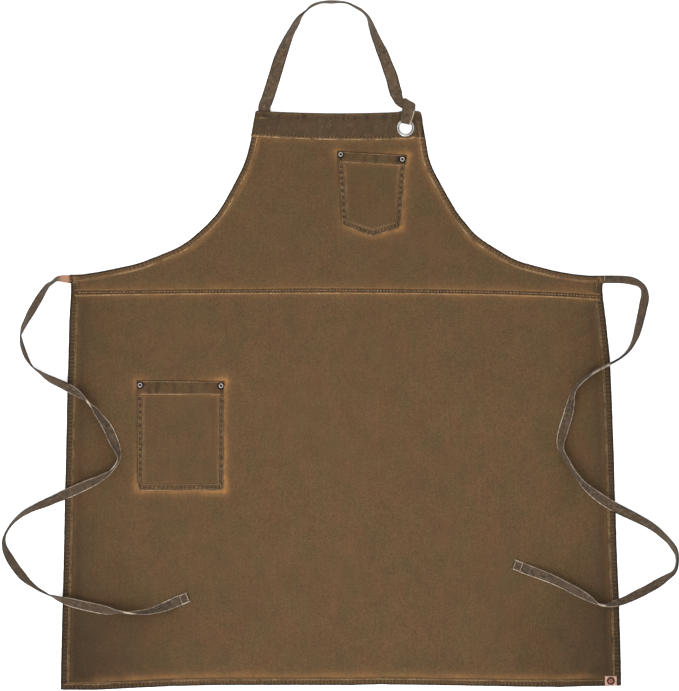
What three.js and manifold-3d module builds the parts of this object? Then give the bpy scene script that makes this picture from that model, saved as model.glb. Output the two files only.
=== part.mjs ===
// A butcher apron laid flat on its back: a skirt and a bib of canvas with turned hems, a facing band
// across the top, two riveted patch pockets, an eyelet, a neck strap and two waist ties of flat tape.
// Millimetres. +Z is up from the surface it lies on, +Y runs from the hem to the neck, +X to the right.
import * as THREE from "three";
import { mergeVertices } from "three/addons/utils/BufferGeometryUtils.js";
import Module from "manifold-3d";

const wasm = await Module();
wasm.setup();

// ---------- driving dimensions ----------
const CLOTH = 0.7; // one ply of canvas, and the thickness of the tapes
const GAP = 0.3; // between two pieces that touch
const TURNED = 1.5; // two plies turned under, as one hem layer
const PANEL_Z = TURNED + GAP; // underside of the skirt and the bib
const FRONT_Z = PANEL_Z + CLOTH + GAP; // underside of what is sewn onto their front
const TOP_Z = FRONT_Z + CLOTH + GAP; // underside of what lies on that

const HEM = 10; // side and bottom hems
const ARM_HEM = 7.5; // armhole hems
const WALL = 0.8; // the fold at a hem's edge
const BAND = 41; // height of the band across the bib's top
const SEAM = 9; // width of the felled waist seam
const FOLD_Y = 200; // the bib folds forward along this line, just above the ties

const THREAD = { width: 0.9, height: 0.4 };
const TIE = 16; // width of the ties
const STRAP = 19.5; // width of the neck strap
const SPAN_STEPS = 3; // a tape's cross-sections from one point of its route to the next
const RIVET = { cap: 4.6, post: 1.2, hole: 1.5, burr: 4 };
const EYELET = { x: 100.5, y: 420, hole: 10, barrel: 10.6, flange: 13.5, cut: 10.9 };
const FLIP_Y = 448.6; // the neck strap flips over along this line, at the band's top edge

// ---------- outline, corner to corner ----------
const WAIST = [[-417, 165.5], [-200, 168], [0, 169], [200, 167], [330, 163.3], [404, 158.7]];
const LEFT_SIDE = [[-417, 165.5], [-421, 123], [-424, 0], [-429, -218], [-434.4, -447.5]];
const RIGHT_SIDE = [[404, 158.7], [411, 123], [417.5, 61], [420.5, 0], [427.5, -218], [434.4, -443.8]];
const BOTTOM = [[-434.4, -447.5], [0, -441.6], [434.4, -443.8]];
const LEFT_ARM = [
  [-418, 192.5], [-362, 201], [-319, 210], [-292, 219.5], [-249, 238], [-223, 257], [-204, 275],
  [-188, 294], [-167, 331], [-149, 368], [-139, 405], [-135, 424], [-131.5, 447.5],
];
const RIGHT_ARM = [
  [408, 192.5], [340, 201], [297, 210], [271, 219.5], [237, 238], [210.5, 256.5], [193.5, 275],
  [179.5, 294], [158, 331], [139, 368], [131.5, 405], [127, 430], [122, 447.5],
];
const topY = (x) => 443.5 + 4 * (x / 127) ** 2; // the band's top edge dips in the middle

const BIB_POCKET = {
  outline: [[-5.5, 385], [102.5, 379], [92.5, 270], [50.5, 254.5], [1, 272]],
  mouth: 17,
  rivets: [[0, 380], [95.5, 372.5]],
};
const HIP_POCKET = {
  outline: [[-316, 29.5], [-180, 28.5], [-180, -139], [-316, -139.5]],
  mouth: 20,
  rivets: [[-311, 22.5], [-185.5, 21.5]],
};
const PATCH = { x: 418.7, y: -435.3, width: 18.5, height: 15, stud: 5.2 };

// ---------- routes of the tapes, as they lie ----------
// Each point is [x, y, roll, width]. Roll turns the width up from the ground, in degrees: at 90 the tape
// stands on its edge, past 90 its other face shows. A width is given where the tape's edge is folded under.
const LEFT_TIE = [
  [-419, 186.5, 0, 12.5], [-431, 187.5, 36, 13], [-440, 186.8, 62, 15], [-448, 181, 69], [-457, 173, 60],
  [-476, 142, 37], [-487, 122, 55], [-494, 107, 69], [-495.5, 96, 90], [-492, 79, 111], [-480, 54, 92],
  [-455, 34.5, 58], [-430, 22.5, 37], [-408, 10, 58], [-394, -1.5, 90], [-376, -22, 124], [-361, -44, 151],
  [-352, -64, 153], [-345.5, -79, 127], [-344, -92, 105], [-352, -106, 102], [-369, -120, 119],
  [-400, -135, 156], [-450, -157, 146], [-484, -172, 119], [-505, -187, 100], [-519, -207, 92],
  [-522, -224, 108], [-512, -247, 140], [-495, -271, 132], [-476, -289, 104], [-459, -299, 90],
  [-438, -307.5, 62], [-410, -316, 24], [-370, -325, 28], [-345, -328.7, 70], [-322, -330.2, 95],
  [-300, -328.7, 117], [-276, -322, 146], [-249, -311, 180],
];
const RIGHT_TIE = [
  [409, 186.5, 0, 12], [424, 186.3, 10, 12], [443, 185.3, 18, 12.5], [454, 182.8, 38, 14], [463, 178.5, 62],
  [469, 171.5, 62], [471, 160.5, 50], [469, 147, 37], [460, 108, 54], [454, 91, 66], [445, 76, 82],
  [433, 65, 90], [416, 55.5, 84], [393, 44, 76], [371, 28, 73], [359.5, 11, 72], [356.5, -4, 50],
  [352, -24, 24], [345, -47, 20], [340.5, -66, 42], [342, -79, 68], [349, -92, 75], [360, -111, 73],
  [374, -129, 62], [392, -145, 36], [420, -164, 18], [476, -193, 38], [500, -211.5, 52], [515, -228.5, 63],
  [520.5, -246, 79], [517, -264.5, 76], [503, -276.5, 54], [480, -291, 37], [451, -305.5, 42],
  [425, -315.5, 58], [403, -317.5, 88], [390, -311, 116], [365, -297, 143], [327, -278, 151],
  [281, -260.5, 180],
];
const NECK_STRAP = [
  [-118, 449, 0], [-118, 455, 0], [-113, 468, 0], [-103.5, 498, 0], [-95, 525.5, 20], [-85.5, 550, 38],
  [-76, 570, 56], [-66.5, 586, 70], [-57, 598.5, 88], [-45, 609, 106], [-31, 614.5, 106],
  [-13.5, 615.5, 108], [8, 614.5, 101], [25, 606.5, 107], [35, 600, 105], [42.5, 591, 106], [47.5, 579, 120],
  [52.5, 565, 133], [58.5, 551, 143], [65.5, 535.5, 154], [72.5, 517, 159], [79, 500, 168],
  [83, 484.5, 174], [86.5, 472.5, 180],
];

// ---------- materials ----------
const material = (color, roughness, metalness = 0) =>
  new THREE.MeshStandardMaterial({ color, roughness, metalness });
const CANVAS = material(0x6a523a, 0.95);
const BAND_CANVAS = material(0x5f4c38, 0.95);
const TAPE = material(0x6f5f4c, 0.9);
const THREADS = material(0x9a7a54, 0.85);
const STEEL = material(0xc4c4c2, 0.3, 1);
const LEATHER = material(0x8e6350, 0.6);
const COPPER = material(0xb07a60, 0.4, 1);

// ---------- solids ----------
const points = (pairs) => pairs.map(([x, y]) => new THREE.Vector2(x, y));

function solidOf(geometry) {
  const bare = geometry.clone();
  bare.deleteAttribute("normal");
  bare.deleteAttribute("uv");
  const merged = mergeVertices(bare, 1e-4);
  return new wasm.Manifold(
    new wasm.Mesh({
      numProp: 3,
      vertProperties: merged.attributes.position.array,
      triVerts: new Uint32Array(merged.index.array),
    }),
  );
}

function geometryOf(solid) {
  const mesh = solid.getMesh();
  return new THREE.BufferGeometry()
    .setAttribute("position", new THREE.BufferAttribute(mesh.vertProperties, 3))
    .setIndex(new THREE.BufferAttribute(mesh.triVerts, 1));
}

const join = (...parts) => geometryOf(parts.map(solidOf).reduce((a, b) => a.add(b)));

const cut = (body, holes) =>
  geometryOf(holes.map(solidOf).reduce((a, b) => a.subtract(b), solidOf(body)));

const common = (a, b) => geometryOf(solidOf(a).intersect(solidOf(b)));

// A flat plate over an outline, from z upwards.
function plate(outline, z, thickness = CLOTH) {
  const settings = { depth: thickness, bevelEnabled: false };
  return new THREE.ExtrudeGeometry(new THREE.Shape(outline), settings).translate(0, 0, z);
}

// A polyline moved sideways by d, to the left of the way it runs, with mitred corners.
function beside(line, d) {
  const normal = (a, b) => new THREE.Vector2(a.y - b.y, b.x - a.x).normalize();
  return line.map((p, i) => {
    const into = normal(line[Math.max(i - 1, 0)], line[Math.max(i, 1)]);
    const out = normal(line[Math.min(i, line.length - 2)], line[Math.min(i + 1, line.length - 1)]);
    const mitre = into.clone().add(out).normalize();
    return p.clone().addScaledVector(mitre, d / mitre.dot(into));
  });
}

// A flat strip between two lines beside a polyline.
const strip = (line, from, to, z, thickness) =>
  plate([...beside(line, from), ...beside(line, to).reverse()], z, thickness);

// One row of stitching: a thin bar beside a polyline, resting on the surface at z.
const threadRow = (line, d, z) =>
  strip(line, d - THREAD.width / 2, d + THREAD.width / 2, z, THREAD.height);

// A spline through hand-set points, as a polyline.
const curved = (pairs, steps) => new THREE.SplineCurve(points(pairs)).getSpacedPoints(steps);

// Round pieces stand on the XY plane: a profile of [radius, z] turned about Z.
function turned(profile, segments = 16) {
  return new THREE.LatheGeometry(points(profile), segments).rotateX(Math.PI / 2);
}

const hole = (x, y, radius) =>
  new THREE.CylinderGeometry(radius, radius, 20, 20).rotateX(Math.PI / 2).translate(x, y, 0);

// A panel whose edge line is turned under: the panel, the fold and the plies beneath are one cloth.
function hemmed(outline, edges) {
  const folds = edges.flatMap(([line, width]) => [
    strip(line, 0, WALL, 0, PANEL_Z + CLOTH),
    strip(line, 0, width, 0, TURNED),
  ]);
  return join(plate(outline, PANEL_Z), ...folds);
}

// ---------- tapes ----------
const ON_SKIRT = FRONT_Z + THREAD.height + GAP; // underside of a tape that lies over the skirt

// x of a side edge at height y.
function sideX(side, y) {
  const i = Math.max(1, side.findIndex(([, sy]) => sy <= y));
  const [[x0, y0], [x1, y1]] = [side[i - 1], side[i]];
  return x0 + ((x1 - x0) * (y0 - y)) / (y0 - y1);
}

// What a tie lies on: the floor, or the skirt, which it climbs just before it reaches the skirt's edge.
function groundUnder({ x, y }) {
  if (y > 120) return 0;
  const outside = x < 0 ? sideX(LEFT_SIDE, y) - x : x - sideX(RIGHT_SIDE, y);
  return ON_SKIRT * (1 - THREE.MathUtils.smoothstep(outside, 11, 29));
}

// A flat tape along a route, resting on its lower edge at every point.
function tape(route, width, groundAt) {
  const along = (values) => new THREE.SplineCurve(values.map((v, i) => new THREE.Vector2(i, v)));
  const plan = new THREE.SplineCurve(points(route));
  const rolls = along(route.map(([, , roll]) => THREE.MathUtils.degToRad(roll)));
  const widths = along(route.map(([, , , w = width]) => w));
  const t = CLOTH / 2;
  const count = (route.length - 1) * SPAN_STEPS;
  const position = [];
  for (let i = 0; i <= count; i++) {
    const at = plan.getPoint(i / count);
    const dir = plan.getTangent(i / count);
    const roll = rolls.getPoint(i / count).y;
    const w = widths.getPoint(i / count).y / 2;
    const [c, s] = [Math.cos(roll), Math.sin(roll)];
    const z = groundAt(at) + w * Math.abs(s) + t * Math.abs(c);
    for (const [a, b] of [[-t, -w], [t, -w], [t, w], [-t, w]]) {
      const side = b * c - a * s;
      position.push(at.x - dir.y * side, at.y + dir.x * side, z + b * s + a * c);
    }
  }
  return swept(position, count, 4);
}

// A closed skin over cross-sections of n points each, one after the other. Opposite faces are split
// along the same diagonal, so the walls stay apart where the sections twist.
function swept(position, count, n) {
  const index = [];
  for (let i = 0; i < count; i++) {
    for (let j = 0; j < n; j++) {
      const [a, b] = [i * n + j, i * n + ((j + 1) % n)];
      if (j < n / 2) index.push(a, a + n, b, b, a + n, b + n);
      else index.push(a, a + n, b + n, a, b + n, b);
    }
  }
  for (let j = 2; j < n; j++) {
    index.push(0, j - 1, j);
    index.push(count * n, count * n + j, count * n + j - 1);
  }
  return new THREE.BufferGeometry()
    .setAttribute("position", new THREE.Float32BufferAttribute(position, 3))
    .setIndex(index);
}

// The doubled and boxed end of a tie, just past the end of its route.
function tieEnd(route) {
  const length = 14;
  const plan = new THREE.SplineCurve(points(route));
  const along = plan.getTangent(1);
  const at = plan.getPoint(1).addScaledVector(along, length / 2 + GAP);
  return new THREE.BoxGeometry(length, TIE + 0.4, 2 * CLOTH)
    .rotateZ(Math.atan2(along.y, along.x))
    .translate(at.x, at.y, ON_SKIRT + CLOTH);
}

// ---------- cloth ----------
const waistLine = curved(WAIST, 24);
const leftArm = curved(LEFT_ARM, 40);
const rightArm = curved(RIGHT_ARM, 40);

// The part of an armhole curve above or below the fold line, cut exactly at height y.
function split(arm, y) {
  const i = arm.findIndex((p) => p.y > y);
  const t = (y - arm[i - 1].y) / (arm[i].y - arm[i - 1].y);
  const at = arm[i - 1].clone().lerp(arm[i], t);
  return { below: [...arm.slice(0, i), at], above: [at, ...arm.slice(i)] };
}

function skirtPanel() {
  const edge = [...points(LEFT_SIDE), ...points(BOTTOM).slice(1, -1), ...points(RIGHT_SIDE).reverse()];
  const top = beside(waistLine, -GAP / 2).reverse().slice(1, -1);
  return cut(hemmed([...edge, ...top], [[edge, HEM]]), [
    ...HIP_POCKET.rivets.map(([x, y]) => hole(x, y, RIVET.hole)),
    hole(PATCH.x, PATCH.y, RIVET.hole),
  ]);
}

function bibBase() {
  const left = split(leftArm, FOLD_Y - GAP / 2).below;
  const right = split(rightArm, FOLD_Y - GAP / 2).below;
  return plate([...beside(waistLine, GAP / 2), ...right, ...left.reverse()], PANEL_Z);
}

function bibPanel() {
  const left = split(leftArm, FOLD_Y + GAP / 2).above;
  const right = split(rightArm, FOLD_Y + GAP / 2).above;
  const inside = (arm) => arm.filter((p) => p.y < topY(p.x) - WALL - GAP);
  const outline = [...inside(right), ...inside(left).reverse()];
  const underBand = (arm) => split(arm, topY(0) - BAND - 1).below;
  const hems = [[underBand(left).reverse(), ARM_HEM], [underBand(right), ARM_HEM]];
  const aboveFold = new THREE.BoxGeometry(800, 300, 20).translate(0, FOLD_Y + GAP / 2 + 150, 0);
  return cut(common(hemmed(outline, hems), aboveFold), [
    ...BIB_POCKET.rivets.map(([x, y]) => hole(x, y, RIVET.hole)),
    hole(EYELET.x, EYELET.y, EYELET.cut),
  ]);
}

// The band is folded over the bib's top edge: its fold closes the edge, and its face lies in front.
const bandTop = Array.from({ length: 13 }, (_, i) => 122 - (253.5 / 12) * i)
  .map((x) => new THREE.Vector2(x, topY(x)));
const bandFoot = bandTop.map((p) => new THREE.Vector2(p.x * 1.06, p.y - BAND - p.x * 0.012));

function topBand() {
  const face = plate([...bandTop, ...bandFoot.slice().reverse()], FRONT_Z);
  const fold = strip(bandTop, 0, WALL, PANEL_Z, FRONT_Z + CLOTH - PANEL_Z);
  return cut(join(face, fold), [hole(EYELET.x, EYELET.y, EYELET.cut)]);
}

// A patch pocket's mouth, from its left corner to its right one, and the mouth of its turned hem.
const mouthLine = ({ outline }) => points(outline.slice(0, 2));

function pocket(design) {
  const hem = strip(mouthLine(design), 0, -design.mouth, FRONT_Z + CLOTH - 0.05, CLOTH + 0.05);
  const patch = plate(points(design.outline), FRONT_Z);
  const frame = plate(points(design.outline), FRONT_Z, 3 * CLOTH);
  return cut(join(patch, common(hem, frame)), design.rivets.map(([x, y]) => hole(x, y, RIVET.hole)));
}

// Three rows hold a pocket: two round its sides and foot, below the mouth's hem, and one across that.
function pocketThreads(name, design) {
  const [left, right, ...foot] = points(design.outline);
  const below = (from, to) => from.clone().lerp(to, (design.mouth + 1.5) / from.distanceTo(to));
  const start = below(left, foot.at(-1));
  const round = [start, ...foot.slice().reverse(), below(right, foot[0])];
  const mouth = mouthLine(design);
  const across = [mouth[0].clone().lerp(mouth[1], 0.05), mouth[0].clone().lerp(mouth[1], 0.95)];
  return [
    sewn(`${name}_thread_outer`, threadRow(round, 2.2, FRONT_Z + CLOTH + GAP)),
    sewn(`${name}_thread_inner`, threadRow(round, 9, FRONT_Z + CLOTH + GAP)),
    sewn(`${name}_thread_mouth`, threadRow(across, 2.5 - design.mouth, TOP_Z + CLOTH)),
  ];
}

// ---------- metal ----------
const RIVET_Z = TOP_Z + CLOTH; // on a pocket's doubled mouth

function rivet() {
  const { cap, post } = RIVET;
  const top = RIVET_Z + 1;
  return turned([
    [0, 0.8], [post, 0.8], [post, RIVET_Z], [cap, RIVET_Z], [cap, RIVET_Z + 0.5], [cap - 1, top],
    [cap - 2, top], [cap - 2.4, top - 0.5], [0, top - 0.5],
  ]);
}

const ring = (inner, outer, z0, z1) =>
  turned([[inner, z0], [outer, z0], [outer, z1], [inner, z1], [inner, z0]]);

function eyelet() {
  const { hole: r, barrel, flange } = EYELET;
  return turned([
    [r, 1], [barrel, 1], [barrel, TOP_Z], [flange, TOP_Z], [flange, TOP_Z + 0.4], [flange - 1, TOP_Z + 1],
    [r + 1, TOP_Z + 1], [r, TOP_Z + 0.4], [r, 1],
  ], 28);
}

function patchStud() {
  const { stud } = PATCH;
  return turned([
    [0, PANEL_Z + 0.3], [1.2, PANEL_Z + 0.3], [1.2, TOP_Z], [stud, TOP_Z], [stud, TOP_Z + 0.5],
    [stud - 0.8, TOP_Z + 0.9], [0, TOP_Z + 1.1],
  ]);
}

// ---------- strap ends ----------
// The tape that goes up behind the band, through the eyelet and up over its front, seen from the side.
function strapLoop() {
  const [lift, ply, wide] = [TOP_Z + 1.3, 0.6, 14.6];
  const [foot, rise] = [EYELET.y + 4.7, EYELET.y + 6.1];
  const top = FLIP_Y - GAP;
  const side = points([
    [top, lift], [rise, lift], [rise, ply], [top, ply], [top, 0], [foot, 0], [foot, lift + CLOTH],
    [top, lift + CLOTH],
  ]);
  const across = new THREE.Matrix4().makeBasis(
    new THREE.Vector3(0, 1, 0), new THREE.Vector3(0, 0, 1), new THREE.Vector3(1, 0, 0),
  );
  return new THREE.ExtrudeGeometry(new THREE.Shape(side), { depth: wide, bevelEnabled: false })
    .applyMatrix4(across)
    .translate(EYELET.x - wide / 2, 0, 0);
}

// The strap is turned over itself above the band, as one flat lump.
const strapKnot = () =>
  plate(points([
    [78, 470], [80, 461.5], [87, 455.5], [93.5, 453.5], [94, FLIP_Y + GAP], [115, FLIP_Y + GAP],
    [115.5, 455], [113.5, 458.5], [98, 466.5], [95.5, 475],
  ]), 0, 5.6);

// The strap's other end lies flat behind the band, sewn through it.
const strapSewnEnd = () =>
  plate(points([
    [-127.5, FLIP_Y - GAP], [-134, 412], [-114.5, 412], [-108.5, FLIP_Y - GAP],
  ]).map((p) => new THREE.Vector2(p.x + (p.y < 430 ? 6 : 0), p.y)), 0);

// A tie's end lies flat behind the skirt's corner.
const tieSewnEnd = (x, side) =>
  new THREE.BoxGeometry(24, TIE, CLOTH).translate(x - side * (12 + GAP), 186.5, CLOTH / 2);

const bartack = (x, y, width, height, z) =>
  new THREE.BoxGeometry(width, height, THREAD.height).translate(x, y, z + THREAD.height / 2);

// ---------- the apron ----------
const apron = new THREE.Group();

function piece(name, geometry, kind, x = 0, y = 0) {
  const mesh = new THREE.Mesh(geometry, kind);
  mesh.name = name;
  mesh.position.set(x, y, 0);
  apron.add(mesh);
  return mesh;
}

const sewn = (name, geometry) => piece(name, geometry, THREADS);

function riveted(name, design) {
  design.rivets.forEach(([x, y], i) => {
    const side = ["left", "right"][i];
    piece(`${name}_rivet_${side}`, rivet(), STEEL, x, y);
    piece(`${name}_burr_${side}`, ring(RIVET.hole, RIVET.burr, 0.7, 1.5), STEEL, x, y);
  });
}

const ON_CLOTH = PANEL_Z + CLOTH + GAP;
const ON_FRONT = TOP_Z;

piece("skirt_panel", skirtPanel(), CANVAS);
piece("bib_base", bibBase(), CANVAS);
piece("bib_panel", bibPanel(), CANVAS);
piece("bib_top_band", topBand(), BAND_CANVAS);
piece("waist_seam", strip(waistLine, -SEAM / 2, SEAM / 2, FRONT_Z), CANVAS);

sewn("waist_thread_upper", threadRow(waistLine, 0.3, ON_FRONT));
sewn("waist_thread_lower", threadRow(waistLine, 0.9 - SEAM / 2, ON_FRONT));
sewn("side_thread_left", threadRow(points(LEFT_SIDE).slice(1), HEM - 1.2, ON_CLOTH));
const abovePatch = split(points(RIGHT_SIDE).slice(1).reverse(), -424).above;
sewn("side_thread_right", threadRow(abovePatch, HEM - 1.2, ON_CLOTH));
sewn("bottom_thread", threadRow(points([[-420, -447.3], [0, -441.6], [406, -443.7]]), HEM - 1.2, ON_CLOTH));
const openArm = (arm) => split(split(arm, 212).above, 400).below;
sewn("armhole_thread_left", threadRow(openArm(leftArm), 0.9 - ARM_HEM, ON_CLOTH));
sewn("armhole_thread_right", threadRow(openArm(rightArm), ARM_HEM - 0.9, ON_CLOTH));
sewn("band_thread_upper", threadRow(bandTop.slice(2, -1), 9, ON_FRONT));
sewn("band_thread_lower", threadRow(bandFoot.slice(0, -1), -2.2, ON_FRONT));

piece("bib_pocket", pocket(BIB_POCKET), CANVAS);
pocketThreads("bib_pocket", BIB_POCKET);
riveted("bib_pocket", BIB_POCKET);

piece("hip_pocket", pocket(HIP_POCKET), CANVAS);
pocketThreads("hip_pocket", HIP_POCKET);
riveted("hip_pocket", HIP_POCKET);

piece("eyelet", eyelet(), STEEL, EYELET.x, EYELET.y);
piece("eyelet_washer", ring(EYELET.cut, EYELET.flange + 0.5, 1, 1.5), STEEL, EYELET.x, EYELET.y);

const patchPlate = new THREE.BoxGeometry(PATCH.width, PATCH.height, CLOTH)
  .translate(PATCH.x, PATCH.y, FRONT_Z + CLOTH / 2);
piece("corner_patch", cut(patchPlate, [hole(PATCH.x, PATCH.y, RIVET.hole)]), LEATHER);
piece("corner_patch_stud", patchStud(), COPPER, PATCH.x, PATCH.y);

piece("neck_strap", tape(NECK_STRAP, STRAP, () => 0), TAPE);
piece("neck_strap_knot", strapKnot(), TAPE);
piece("neck_strap_loop", strapLoop(), TAPE);
piece("neck_strap_sewn_end", strapSewnEnd(), TAPE);
sewn("neck_strap_bartack", bartack(-119, 436, 14, 2.4, ON_FRONT));

const ties = [["left_tie", LEFT_TIE, -418.7, -1], ["right_tie", RIGHT_TIE, 408.7, 1]];
for (const [name, route, x, side] of ties) {
  piece(name, tape(route, TIE, groundUnder), TAPE);
  piece(`${name}_end_hem`, tieEnd(route), TAPE);
  piece(`${name}_sewn_end`, tieSewnEnd(x, side), TAPE);
  sewn(`${name}_bartack`, bartack(x - side * 6, 185.5, 2.4, 11, ON_CLOTH));
}

export default apron;
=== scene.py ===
"""Looks of the butcher apron, laid flat on its back. Lengths are millimetres unless they go to Blender."""

import math

import bpy
import numpy as np
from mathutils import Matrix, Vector


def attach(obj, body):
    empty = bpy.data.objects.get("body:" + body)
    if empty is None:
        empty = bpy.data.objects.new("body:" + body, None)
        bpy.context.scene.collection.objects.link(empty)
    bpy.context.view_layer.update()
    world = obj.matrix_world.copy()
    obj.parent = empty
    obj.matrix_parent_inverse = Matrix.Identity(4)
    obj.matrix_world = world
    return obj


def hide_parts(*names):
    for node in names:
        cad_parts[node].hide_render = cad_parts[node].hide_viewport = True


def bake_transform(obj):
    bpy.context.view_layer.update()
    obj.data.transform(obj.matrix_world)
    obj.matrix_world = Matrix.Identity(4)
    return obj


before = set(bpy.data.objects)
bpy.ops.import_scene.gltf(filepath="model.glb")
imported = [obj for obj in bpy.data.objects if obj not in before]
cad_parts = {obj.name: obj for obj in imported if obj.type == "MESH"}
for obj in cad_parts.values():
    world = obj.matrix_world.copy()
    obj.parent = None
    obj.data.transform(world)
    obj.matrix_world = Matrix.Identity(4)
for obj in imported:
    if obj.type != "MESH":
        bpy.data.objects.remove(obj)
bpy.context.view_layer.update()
MM = 0.001
TAU = 2 * math.pi

# ---------------------------------------------------------------- camera, floor and light


def make_camera():
    data = bpy.data.cameras.new("camera")
    data.lens = 180
    data.sensor_width = 36
    data.clip_end = 50
    camera = bpy.data.objects.new("camera", data)
    bpy.context.scene.collection.objects.link(camera)
    frame_height = 691 * 1.55 * MM  # what the picture's long side covers at the cloth's face
    camera.location = (-0.0019, 0.0838, 0.0025 + frame_height * data.lens / data.sensor_width)
    bpy.context.scene.camera = camera


def area_light(name, location, target, size, energy, color=(1, 1, 1)):
    data = bpy.data.lights.new(name, "AREA")
    data.shape = "DISK"
    data.size = size
    data.energy = energy
    data.color = color
    light = bpy.data.objects.new(name, data)
    light.location = location
    direction = np.array(target) - np.array(location)
    light.rotation_mode = "QUATERNION"
    light.rotation_quaternion = Vector(direction).to_track_quat("-Z", "Y")
    bpy.context.scene.collection.objects.link(light)


make_camera()

# ---------------------------------------------------------------- numbers shared with the CAD

WAIST = [(-417, 165.5), (-200, 168), (0, 169), (200, 167), (330, 163.3), (404, 158.7)]
LEFT_SIDE = [
    (-420, 194.5), (-418.2, 180), (-418.4, 166), (-419.6, 145), (-421, 123), (-424, 0), (-429, -218),
    (-434.4, -447.5),
]
RIGHT_SIDE = [
    (408.2, 193), (406.2, 184), (405.8, 168), (406.8, 155), (411, 123), (417.5, 61), (420.5, 0),
    (427.5, -218), (433.6, -372), (434.9, -443.8),
]
BOTTOM = [
    (-434.4, -449.5), (-429, -450.3), (-382, -450.4), (-358, -449.2), (-311, -446.9), (-265, -444.4),
    (-172, -442.5), (-79, -442.7), (14, -443.1), (61, -441.6), (200, -444.0), (293, -445.3), (340, -446.1),
    (386, -444.4), (434.4, -443.8),
]
LEFT_ARM = [
    (-420, 193.8), (-402, 194.2), (-381.5, 197.0), (-362, 200.6), (-319, 210), (-292, 219.5), (-249, 238),
    (-223, 257), (-204, 275), (-188, 294), (-167, 331), (-149, 368), (-139, 405), (-135, 424), (-131.5, 447.5),
]
RIGHT_ARM = [
    (408, 191.5), (375, 193.2), (338, 198.6), (297, 208.3), (270, 217), (237, 236), (210.5, 255), (193.5, 274),
    (179, 292.5), (157.5, 330), (139, 368), (131.5, 405), (127, 430), (122, 447.5),
]
BIB_POCKET = dict(
    top=[(-5.5, 385), (102.5, 379)], foot=[(1, 270.4), (49.2, 252.4), (93, 267)], mouth=17.5,
    rivets=[(0, 380), (95.5, 372.5)],
)
HIP_POCKET = dict(
    top=[(-316, 29.5), (-180, 28.5)], foot=[(-316, -141.2), (-248, -141), (-180.4, -140.6)], mouth=22,
    rivets=[(-311, 22.5), (-185.5, 21.5)],
)
EYELET = (100.5, 421.2)
PATCH = (418.6, -435.9)
PATCH_HALF = (9.25, 7.5)
TIE, STRAP = 16, 19.5
ON_SKIRT = 3.5  # the underside of a tape that lies over the skirt
TAPE_THICKNESS = 0.9
FACE = 2.5  # front of the skirt and the bib
SIDE_HEM, BOTTOM_HEM, ARM_HEM = 12.2, 9.2, 9.8
CORNER = 6.5  # radius of a pocket's lower corners

# [x, y, roll, width]: the tapes' routes as in the CAD
LEFT_TIE = [
    (-419, 186.5, 0, 12.5), (-431, 187.5, 36, 13), (-440, 186.8, 62, 15), (-448, 181, 69), (-457, 173, 60),
    (-476, 142, 37), (-487, 122, 55), (-494, 107, 69), (-495.5, 96, 90), (-492, 79, 111), (-480, 54, 92),
    (-455, 34.5, 58), (-430, 22.5, 35), (-408, 10, 45), (-394, -1.5, 80), (-385, -11, 100),
    (-376, -22, 124), (-361, -44, 151), (-352, -64, 153), (-345.5, -79, 127), (-344, -92, 105),
    (-352, -106, 102), (-369, -120, 119),
    (-400, -135, 156), (-450, -157, 146), (-484, -172, 119), (-505, -187, 100), (-519, -207, 92),
    (-522, -224, 108), (-512, -247, 140), (-495, -271, 132), (-476, -289, 104), (-459, -299, 90),
    (-438, -307.5, 62), (-410, -316, 24), (-370, -325, 28), (-345, -328.7, 70), (-322, -330.2, 95),
    (-300, -328.7, 117), (-276, -322, 146), (-249, -311, 180),
]
RIGHT_TIE = [
    (409, 186.5, 0, 12), (424, 186.3, 10, 12), (443, 185.3, 18, 12.5), (454, 182.8, 38, 14), (463, 178.5, 62),
    (469, 171.5, 62), (471, 160.5, 50), (469, 147, 37), (460, 108, 54), (454, 91, 66), (445, 76, 80),
    (433, 65, 82), (416, 55.5, 82), (393, 44, 78), (371, 28, 73), (359.5, 11, 72), (356.5, -4, 50),
    (352, -24, 24), (345, -47, 20), (340.5, -66, 42), (342, -79, 68), (349, -92, 75), (360, -111, 73),
    (374, -129, 62), (392, -145, 36), (420, -164, 18), (476, -193, 38), (500, -211.5, 52), (515, -228.5, 63),
    (520.5, -246, 79), (517, -264.5, 76), (503, -276.5, 54), (480, -291, 37), (451, -305.5, 42),
    (425, -315.5, 58), (403, -317.5, 88), (390, -311, 116), (365, -297, 143), (327, -278, 151),
    (281, -260.5, 180),
]
NECK_STRAP = [
    (-118, 449, 0), (-118, 455, 0), (-113, 468, 0), (-103.5, 498, 0), (-95, 525.5, 20), (-85.5, 550, 38),
    (-76, 570, 56), (-66.5, 586, 70), (-57, 598.5, 88), (-45, 609, 106), (-31, 614.5, 106),
    (-13.5, 615.5, 108), (8, 614.5, 101), (25, 606.5, 107), (35, 600, 105), (42.5, 591, 106), (47.5, 579, 120),
    (52.5, 565, 133), (58.5, 551, 143), (65.5, 535.5, 154), (72.5, 517, 159), (79, 500, 168),
    (83, 484.5, 174), (86.5, 472.5, 180),
]
# a tape's section, as (share of the half width, share of the half thickness), with thicker selvedges
TAPE_SECTION = [
    (-1.0, -0.55), (-1.0, 0.55), (-0.965, 1.0), (-0.9, 1.1), (-0.82, 0.95), (-0.5, 0.85), (0, 0.8), (0.5, 0.85),
    (0.82, 0.95), (0.9, 1.1), (0.965, 1.0), (1.0, 0.55), (1.0, -0.55), (0.965, -1.0), (0.9, -1.1),
    (0.82, -0.95), (0.5, -0.85), (0, -0.8), (-0.5, -0.85), (-0.82, -0.95), (-0.9, -1.1), (-0.965, -1.0),
]

# ---------------------------------------------------------------- small maths


def smooth(x, a, b):
    t = np.clip((np.asarray(x, float) - a) / (b - a), 0, 1)
    return t * t * (3 - 2 * t)


def bell(x, centre, width):
    return np.exp(-(((np.asarray(x, float) - centre) / width) ** 2))


def noise1(s, size, seed):
    """Smooth value noise along a length."""
    return noise2(s, s * 0, size, seed)


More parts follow.
